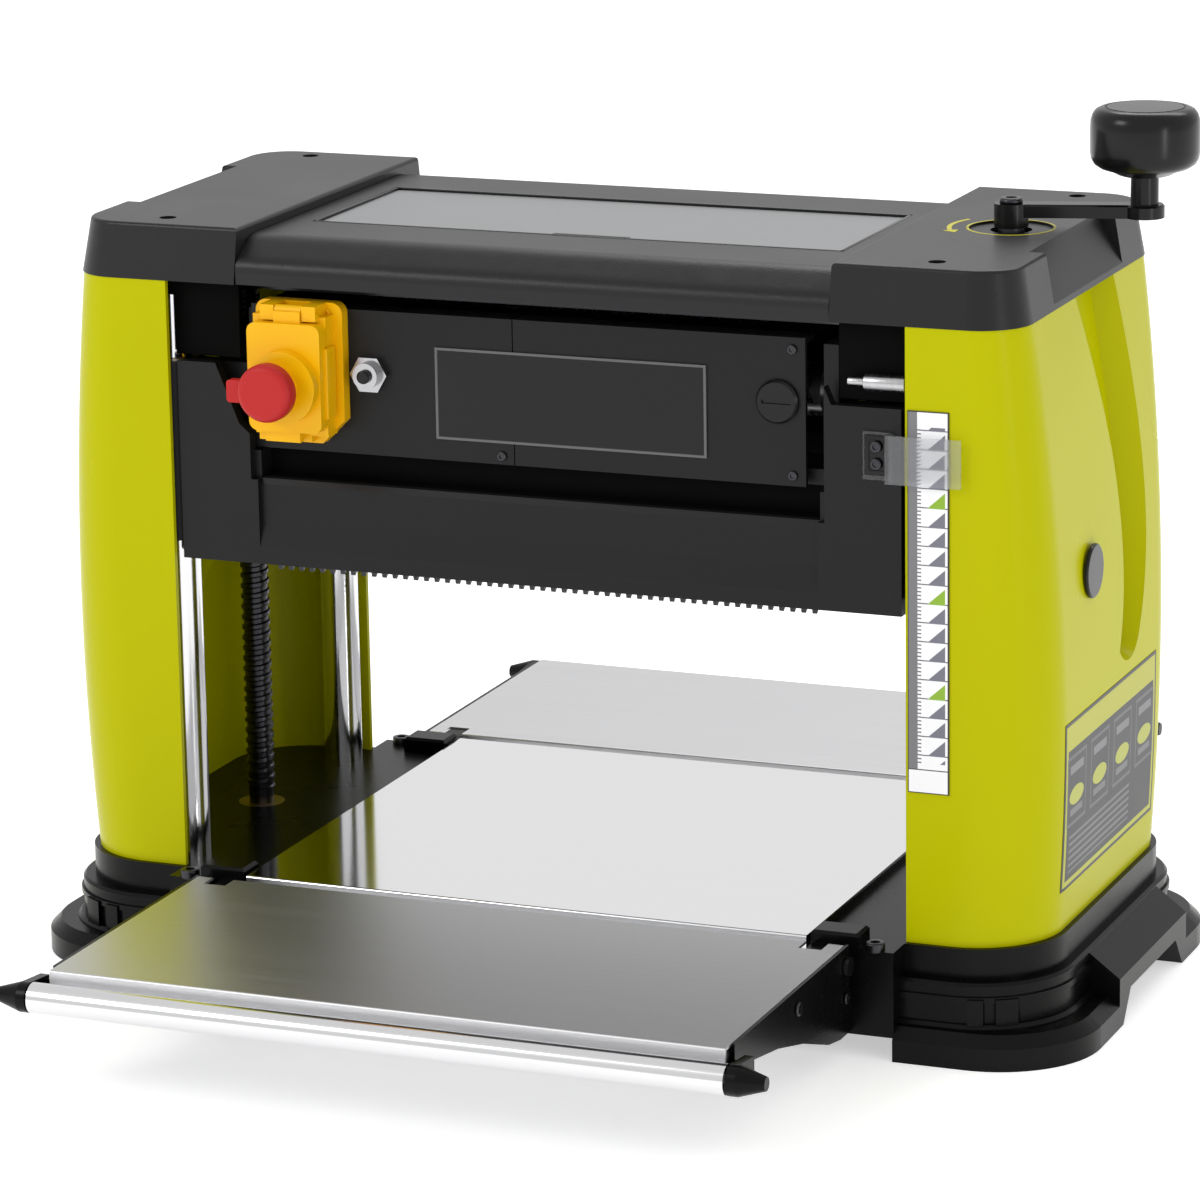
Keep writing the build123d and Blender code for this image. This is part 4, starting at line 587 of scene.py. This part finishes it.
threaded_screw("left_lead_screw", "left_screw")
threaded_screw("right_lead_screw", "right_screw")

# %% [markdown]
# ## Crank knob
# The knob is turned from black plastic: a fat mushroom with a cap pressed in its top. A lathe profile
# gives its round shoulders better than a bevelled cylinder would.

# %% Knob and crank fittings
knob_low, knob_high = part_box("crank_knob")
knob_x, knob_y = (knob_low[0] + knob_high[0]) / 2, (knob_low[1] + knob_high[1]) / 2
knob_radius = (knob_high[0] - knob_low[0]) / 2
knob_tall = knob_high[2] - knob_low[2]
knob_profile = [
    (0.0, 0.0), (0.42, 0.0), (0.50, 0.02), (0.62, 0.07), (0.82, 0.12), (0.93, 0.18), (0.985, 0.26),
    (1.0, 0.36), (1.0, 0.70), (0.99, 0.82), (0.955, 0.90), (0.90, 0.955), (0.82, 0.985), (0.74, 0.995),
    (0.73, 0.98), (0.71, 0.98), (0.70, 0.998), (0.3, 1.0), (0.0, 1.0),
]
knob = turned([(r * knob_radius, h * knob_tall) for r, h in knob_profile], 64)
knob.location = (knob_x, knob_y, knob_low[2])
settle(knob, "turned_knob", "crank_grip", deep_black, 40.0)
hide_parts("crank_knob")
print("knob radius", round(knob_radius, 4), "height", round(knob_tall, 4))

sprocket_low, sprocket_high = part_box("right_sprocket")
screw_x = (sprocket_low[0] + sprocket_high[0]) / 2
screw_y = (sprocket_low[1] + sprocket_high[1]) / 2
HUB_SCREW_Z = 0.4252
screw_head("crank_hub_screw", (screw_x, screw_y, HUB_SCREW_Z), "Z", 1.0, 0.0062, "right_screw")

# %% [markdown]
# ## Marks on the right cap
# A yellow line circles the crank's hub, and an arrow beside it shows a way to turn it. They are printed
# on the real cap; here they are thin raised prints so that they also exist in the exported meshes.

# %% Hub ring and turn arrow
print_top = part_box("right_top_cap")[1][2] + 0.0001


def flat_print(name, points):
    """Thin closed plate on the cap from a flat outline given counter-clockwise in X and Y."""
    mesh = bpy.data.meshes.new(name)
    mesh.from_pydata([(x, y, print_top) for x, y in points], [], [list(range(len(points)))])
    piece = bpy.data.objects.new(name, mesh)
    bpy.context.scene.collection.objects.link(piece)
    take(piece)
    wall = piece.modifiers.new("film", "SOLIDIFY")
    wall.thickness = 0.00012
    bpy.ops.object.modifier_apply(modifier=wall.name)
    return settle(piece, name, "frame", mark_yellow)


def arc_points(radius, start, end, count=24):
    angles = [math.radians(start + (end - start) * i / (count - 1)) for i in range(count)]
    return [(screw_x + radius * math.cos(a), screw_y + radius * math.sin(a)) for a in angles]


for number, (start, end) in enumerate(((20.0, 195.0), (200.0, 375.0))):
    ring = arc_points(0.0235, start, end) + arc_points(0.0222, end, start)
    flat_print("hub_ring_" + str(number), ring)
arrow = arc_points(0.0335, 150.0, 212.0) + arc_points(0.0310, 212.0, 150.0)
flat_print("turn_arrow", arrow)
tip_points = arc_points(0.0365, 211.0, 211.1, 2)[:1] + arc_points(0.0322, 223.0, 223.1, 2)[:1]
tip_points += arc_points(0.0280, 211.0, 211.1, 2)[:1]
flat_print("turn_arrow_tip", tip_points)
print("prints lie at height", round(print_top, 4))

# %% [markdown]
# ## Tool tray
# The grey plate sits in a groove with a clip in the middle of its front edge. The groove's shade is
# painted:
# four plain bars with softened edges, in smooth black, ring the plate. One ring could do it, but the bars
# give the same look and simple meshes.

# %% Painted groove shade and tray clip
tray_low, tray_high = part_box("top_tray")
lip_top = tray_high[2] + 0.0014
EDGE_OUT, EDGE_IN = 0.001, 0.0012
outer_low = (tray_low[0] - EDGE_OUT, tray_low[1] - EDGE_OUT)
outer_high = (tray_high[0] + EDGE_OUT, tray_high[1] + EDGE_OUT)
# Painted shade: a rim of darker black bars where the groove round the plate falls into shade.
for name, low, high in (
    ("tray_groove_shade_front", outer_low, (outer_high[0], tray_low[1] + EDGE_IN)),
    ("tray_groove_shade_rear", (outer_low[0], tray_high[1] - EDGE_IN), outer_high),
    ("tray_groove_shade_left", outer_low, (tray_low[0] + EDGE_IN, outer_high[1])),
    ("tray_groove_shade_right", (tray_high[0] - EDGE_IN, outer_low[1]), outer_high),
):
    edge = slab((*low, tray_low[2]), (*high, lip_top), 0.0004)
    settle(edge, name, "frame", deep_black)
clip_low = (-0.013, tray_low[1] - 0.0025, tray_high[2] - 0.001)
clip = slab(clip_low, (0.031, tray_low[1] + 0.0045, lip_top), 0.0008)
press_in(clip, Vector((0.0, 0.0, 1.0)), [(0.0016, 0.0), (0.0003, -0.0007)])
settle(clip, "tray_clip", "frame", cap_black)
print("tray lip at height", round(lip_top, 4))

# %% [markdown]
# ## Motor cover fittings
# The blank name plate is a pressed plate with a thin grey rim: the rim is inset from one slab, which is
# simpler than a separate frame. Two matte black sheets line the slot between the covers and the apron as
# painted shade, so that the slot reads dark.

# %% Name plate and painted shade in the slot
FRONT = Vector((0.0, -1.0, 0.0))
face_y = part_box("front_panel_right")[0][1]


def framed_plate(name, low, high, y, rim, body, thickness=0.0012):
    """Front plate with a raised rim; low and high are its corners in X and Z, y is its rear face."""
    piece = slab((low[0], y - thickness, low[1]), (high[0], y, high[1]), 0.0002)
    press_in(piece, FRONT, [(rim, 0.0), (0.0002, -0.0004)])
    settle(piece, name, body, border_grey)
    piece.data.materials.append(deep_black)
    inner_y = y - thickness + 0.0003
    for polygon in piece.data.polygons:
        if polygon.normal.y < -0.9 and polygon.center.y > inner_y:
            polygon.material_index = 1
    return piece


framed_plate("name_plate", (-0.057, 0.3035), (0.095, 0.3525), face_y, 0.0011, "cutting_head")

SLOT_HALF = 0.1575
SLOT_FLOOR = 0.2758
# Painted shade: matte black sheets over the floor and back of the slot, darker than the lit casting.
for name, low, high in (
    ("slot_shade_floor", (-0.1134, SLOT_FLOOR), (-0.1016, SLOT_FLOOR + 0.0014)),
    ("slot_shade_back", (-0.1028, SLOT_FLOOR + 0.0010), (-0.1012, 0.2915)),
):
    liner = slab((-SLOT_HALF, *low), (SLOT_HALF, *high), 0.0003)
    settle(liner, name, "cutting_head", recess_black)
print("motor cover's face at Y", round(face_y, 4))

# %% [markdown]
# ## Lock rod, shrouds and shield
# A steel rod with a pin looks out beside the right cover. Thin black shrouds close the columns round the
# tops of the posts, and a flat shield lies over the motor. Bent sheets could do it, but only their faces
# are ever seen, so plain slabs serve.

# %% Lock rod, shrouds and shield
ROD_Y, ROD_Z = -0.1180, 0.351
lock_rod = rod(0.0042, 0.0225, (0.1950, ROD_Y, ROD_Z), "X", 0.0008)
settle(lock_rod, "lock_rod", "cutting_head", machined)
lock_pin = rod(0.0022, 0.010, (0.1800, ROD_Y, ROD_Z), "X", 0.0004)
settle(lock_pin, "lock_rod_pin", "cutting_head", machined)
SHROUD_INNER = (0.1685, 0.1120, 0.3405)
SHROUD_OUTER = (0.2064, 0.1136, 0.3812)
for side, tag in ((-1.0, "left"), (1.0, "right")):
    for end, sign in (("front", -1.0), ("rear", 1.0)):
        near, far = [
            (side * corner[0], sign * corner[1], corner[2]) for corner in (SHROUD_INNER, SHROUD_OUTER)
        ]
        shroud = slab(near, far, 0.0004)
        settle(shroud, "post_shroud_" + end + "_" + tag, "frame", recess_black)
shield = slab((-0.1555, -0.0955, 0.3671), (0.1480, 0.1065, 0.3686), 0.0004)
settle(shield, "motor_shield", "cutting_head", recess_black)
COVER_SCREWS = ((-0.156, 0.3115), (-0.020, 0.2965), (0.142, 0.2975), (0.142, 0.3635))
for number, (x, z) in enumerate(COVER_SCREWS):
    place = (x, face_y - 0.0008, z)
    screw_head("cover_screw_" + str(number), place, "Y", -1.0, 0.0026, "cutting_head")
print(len(COVER_SCREWS), "cover screws")

# %% [markdown]
# ## Pointer fixing
# The clear pointer is held by two screws in a shallow frame. The frame is one slab whose face is pressed
# in, as the moulding's own pocket would be.

# %% Pointer frame and screws
pad = slab((0.1845, -0.1212, 0.3035), (0.1975, -0.1206, 0.3245), 0.0002)
press_in(pad, FRONT, [(0.0022, 0.0), (0.0002, -0.0004)])
settle(pad, "pointer_frame", "cutting_head", deep_black)
for number, z in enumerate((0.3095, 0.3185)):
    screw_head("pointer_screw_" + str(number), (0.191, -0.1222, z), "Y", -1.0, 0.0031, "cutting_head")

# %% [markdown]
# ## Switch
# The yellow switch has a grip rib on each side of its lid and two screws in its plate. They could be cut
# into the CAD box, but they carry nothing, so they are laid on it here.

# %% Switch details
box_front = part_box("switch_box")[0][1]
for number, x in enumerate((-0.1535, -0.1115)):
    rib = slab((x - 0.0012, box_front + 0.001, 0.314), (x + 0.0012, box_front + 0.012, 0.352), 0.0005)
    settle(rib, "switch_rib_" + str(number), "cutting_head", yellow)
for number, x in enumerate((-0.148, -0.116)):
    place = (x, -0.1175, 0.3685)
    screw_head("switch_screw_" + str(number), place, "Y", -1.0, 0.0022, "cutting_head", yellow)
print("switch box's front at Y", round(box_front, 4))

# %% [markdown]
# ## Information label
# The right panel carries a printed label: a lime rim round a black field with four plain cards, an oval
# on each, and ruled lines below. It is drawn by sums on height and depth, without words. The sheet could
# be cut from the panel's faces; a grid wrapped on it with the Shrinkwrap modifier keeps even squares.

# %% Label on the side panel
LABEL_LOW, LABEL_HIGH = 0.080, 0.170
LABEL_FRONT, LABEL_REAR = -0.085, 0.078


def label_print():
    material = grained("label_print", (0.02, 0.02, 0.02), 0.4, depth=0.02)
    tree = material.node_tree
    axes = place_axes(tree)
    y = share(tree, axes[1], LABEL_FRONT, LABEL_REAR)
    z = share(tree, axes[2], LABEL_LOW, LABEL_HIGH)
    column = wire_math(tree, "FRACT", wire_math(tree, "MULTIPLY", y, 4.0))

    def block(across, low, high, bottom, top):
        return both(tree, between(tree, across, low, high), between(tree, z, bottom, top))

    card = block(column, 0.13, 0.87, 0.39, 0.77)
    flat = wire_math(tree, "DIVIDE", wire_math(tree, "SUBTRACT", column, 0.5), 0.30)
    tall = wire_math(tree, "DIVIDE", wire_math(tree, "SUBTRACT", z, 0.54), 0.055)
    squares = [wire_math(tree, "POWER", value, 2.0) for value in (flat, tall)]
    oval = wire_math(tree, "LESS_THAN", wire_math(tree, "ADD", *squares), 1.0)
    rows = wire_math(tree, "FRACT", wire_math(tree, "MULTIPLY", z, 24.0))
    rows = wire_math(tree, "LESS_THAN", rows, 0.42)
    paint = (0.01, 0.01, 0.012)
    for mask, colour in (
        (block(y, 0.012, 0.988, 0.02, 0.98), (0.42, 0.42, 0.0)),
        (block(y, 0.03, 0.97, 0.05, 0.83), (0.010, 0.010, 0.012)),
        (block(column, 0.10, 0.90, 0.37, 0.79), (0.09, 0.09, 0.10)),
        (card, (0.012, 0.012, 0.016)),
        (both(tree, oval, card), (0.40, 0.42, 0.03)),
        (block(column, 0.24, 0.76, 0.43, 0.47), (0.13, 0.13, 0.14)),
        (block(column, 0.22, 0.78, 0.68, 0.73), (0.16, 0.16, 0.17)),
        (both(tree, rows, block(y, 0.06, 0.72, 0.09, 0.33)), (0.13, 0.13, 0.14)),
    ):
        paint = laid_over(tree, paint, mask, colour)
    tree.links.new(paint, tree.nodes["Principled BSDF"].inputs["Base Color"])
    return material


clear_selection()
bpy.ops.mesh.primitive_grid_add(
    x_subdivisions=24, y_subdivisions=60, size=1.0,
    location=(0.32, (LABEL_FRONT + LABEL_REAR) / 2, (LABEL_LOW + LABEL_HIGH) / 2),
    rotation=(0.0, math.pi / 2, 0.0),
)
label = bpy.context.active_object
label.scale = (LABEL_HIGH - LABEL_LOW, LABEL_REAR - LABEL_FRONT, 1.0)
bpy.ops.object.transform_apply(location=True, rotation=True, scale=True)
wrap = label.modifiers.new("wrap", "SHRINKWRAP")
wrap.target = nodes["right_side_panel"]
wrap.wrap_method = "PROJECT"
wrap.use_project_x = True
wrap.use_project_y = False
wrap.use_project_z = False
wrap.use_negative_direction = True
wrap.use_positive_direction = False
wrap.offset = 0.0003
bpy.ops.object.modifier_apply(modifier=wrap.name)
film = label.modifiers.new("film", "SOLIDIFY")
film.thickness = 0.0002
bpy.ops.object.modifier_apply(modifier=film.name)
settle(label, "information_label", "frame", label_print(), 60.0)
print("label reaches X", round(max(v.co.x for v in label.data.vertices), 4))

# %% [markdown]
# ## Screws on the tables, hood and rear
# Screw heads sit where such parts are held. One helper makes the pan heads, in place of a copied mesh, so
# that each keeps its own place; the levelling screws are short rods with a socket. Two rings on the dust
# port grip the hose.

# %% Table, hood and cover screws
RAIL_X = 0.1868
for side in (-1.0, 1.0):
    for body, sign in (("infeed_table_body", -1.0), ("outfeed_table_body", 1.0)):
        tag = body.split("_")[0] + ("_right" if side > 0 else "_left")
        screw_head("rail_screw_" + tag, (side * RAIL_X, sign * 0.230, 0.053), "X", side, 0.0036, body)
        screw_head("rail_stop_" + tag, (side * RAIL_X, sign * 0.158, 0.036), "X", side, 0.0030, body)
    for sign in (-1.0, 1.0):
        tag = ("front" if sign < 0 else "rear") + ("_right" if side > 0 else "_left")
        place = (side * 0.196, sign * 0.1400, 0.0595)
        level = rod(0.0052, 0.005, place, "Z", 0.0008, 24)
        press_in(level, Vector((0.0, 0.0, 1.0)), [(0.0018, 0.0), (0.0002, -0.0022)])
        settle(level, "level_screw_" + tag, "frame", dark_steel)
REAR_SCREWS = ((-0.115, 0.315), (0.115, 0.315), (-0.115, 0.356), (0.115, 0.356))
for number, (x, z) in enumerate(REAR_SCREWS):
    screw_head("rear_screw_" + str(number), (x, 0.1108, z), "Y", 1.0, 0.0034, "cutting_head")

hood_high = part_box("dust_hood")[1]
port_y = hood_high[1]
port_z = hood_high[2] - 0.0305
for number, back in enumerate((0.004, 0.014)):
    clear_selection()
    bpy.ops.mesh.primitive_torus_add(
        location=(0.0, port_y - back, port_z), rotation=(math.pi / 2, 0.0, 0.0),
        major_radius=0.0300, minor_radius=0.0011, major_segments=64, minor_segments=10,
    )
    rib = bpy.context.active_object
    settle(rib, "port_rib_" + str(number), "cutting_head", head_black)
print("port centre at height", round(port_z, 4))
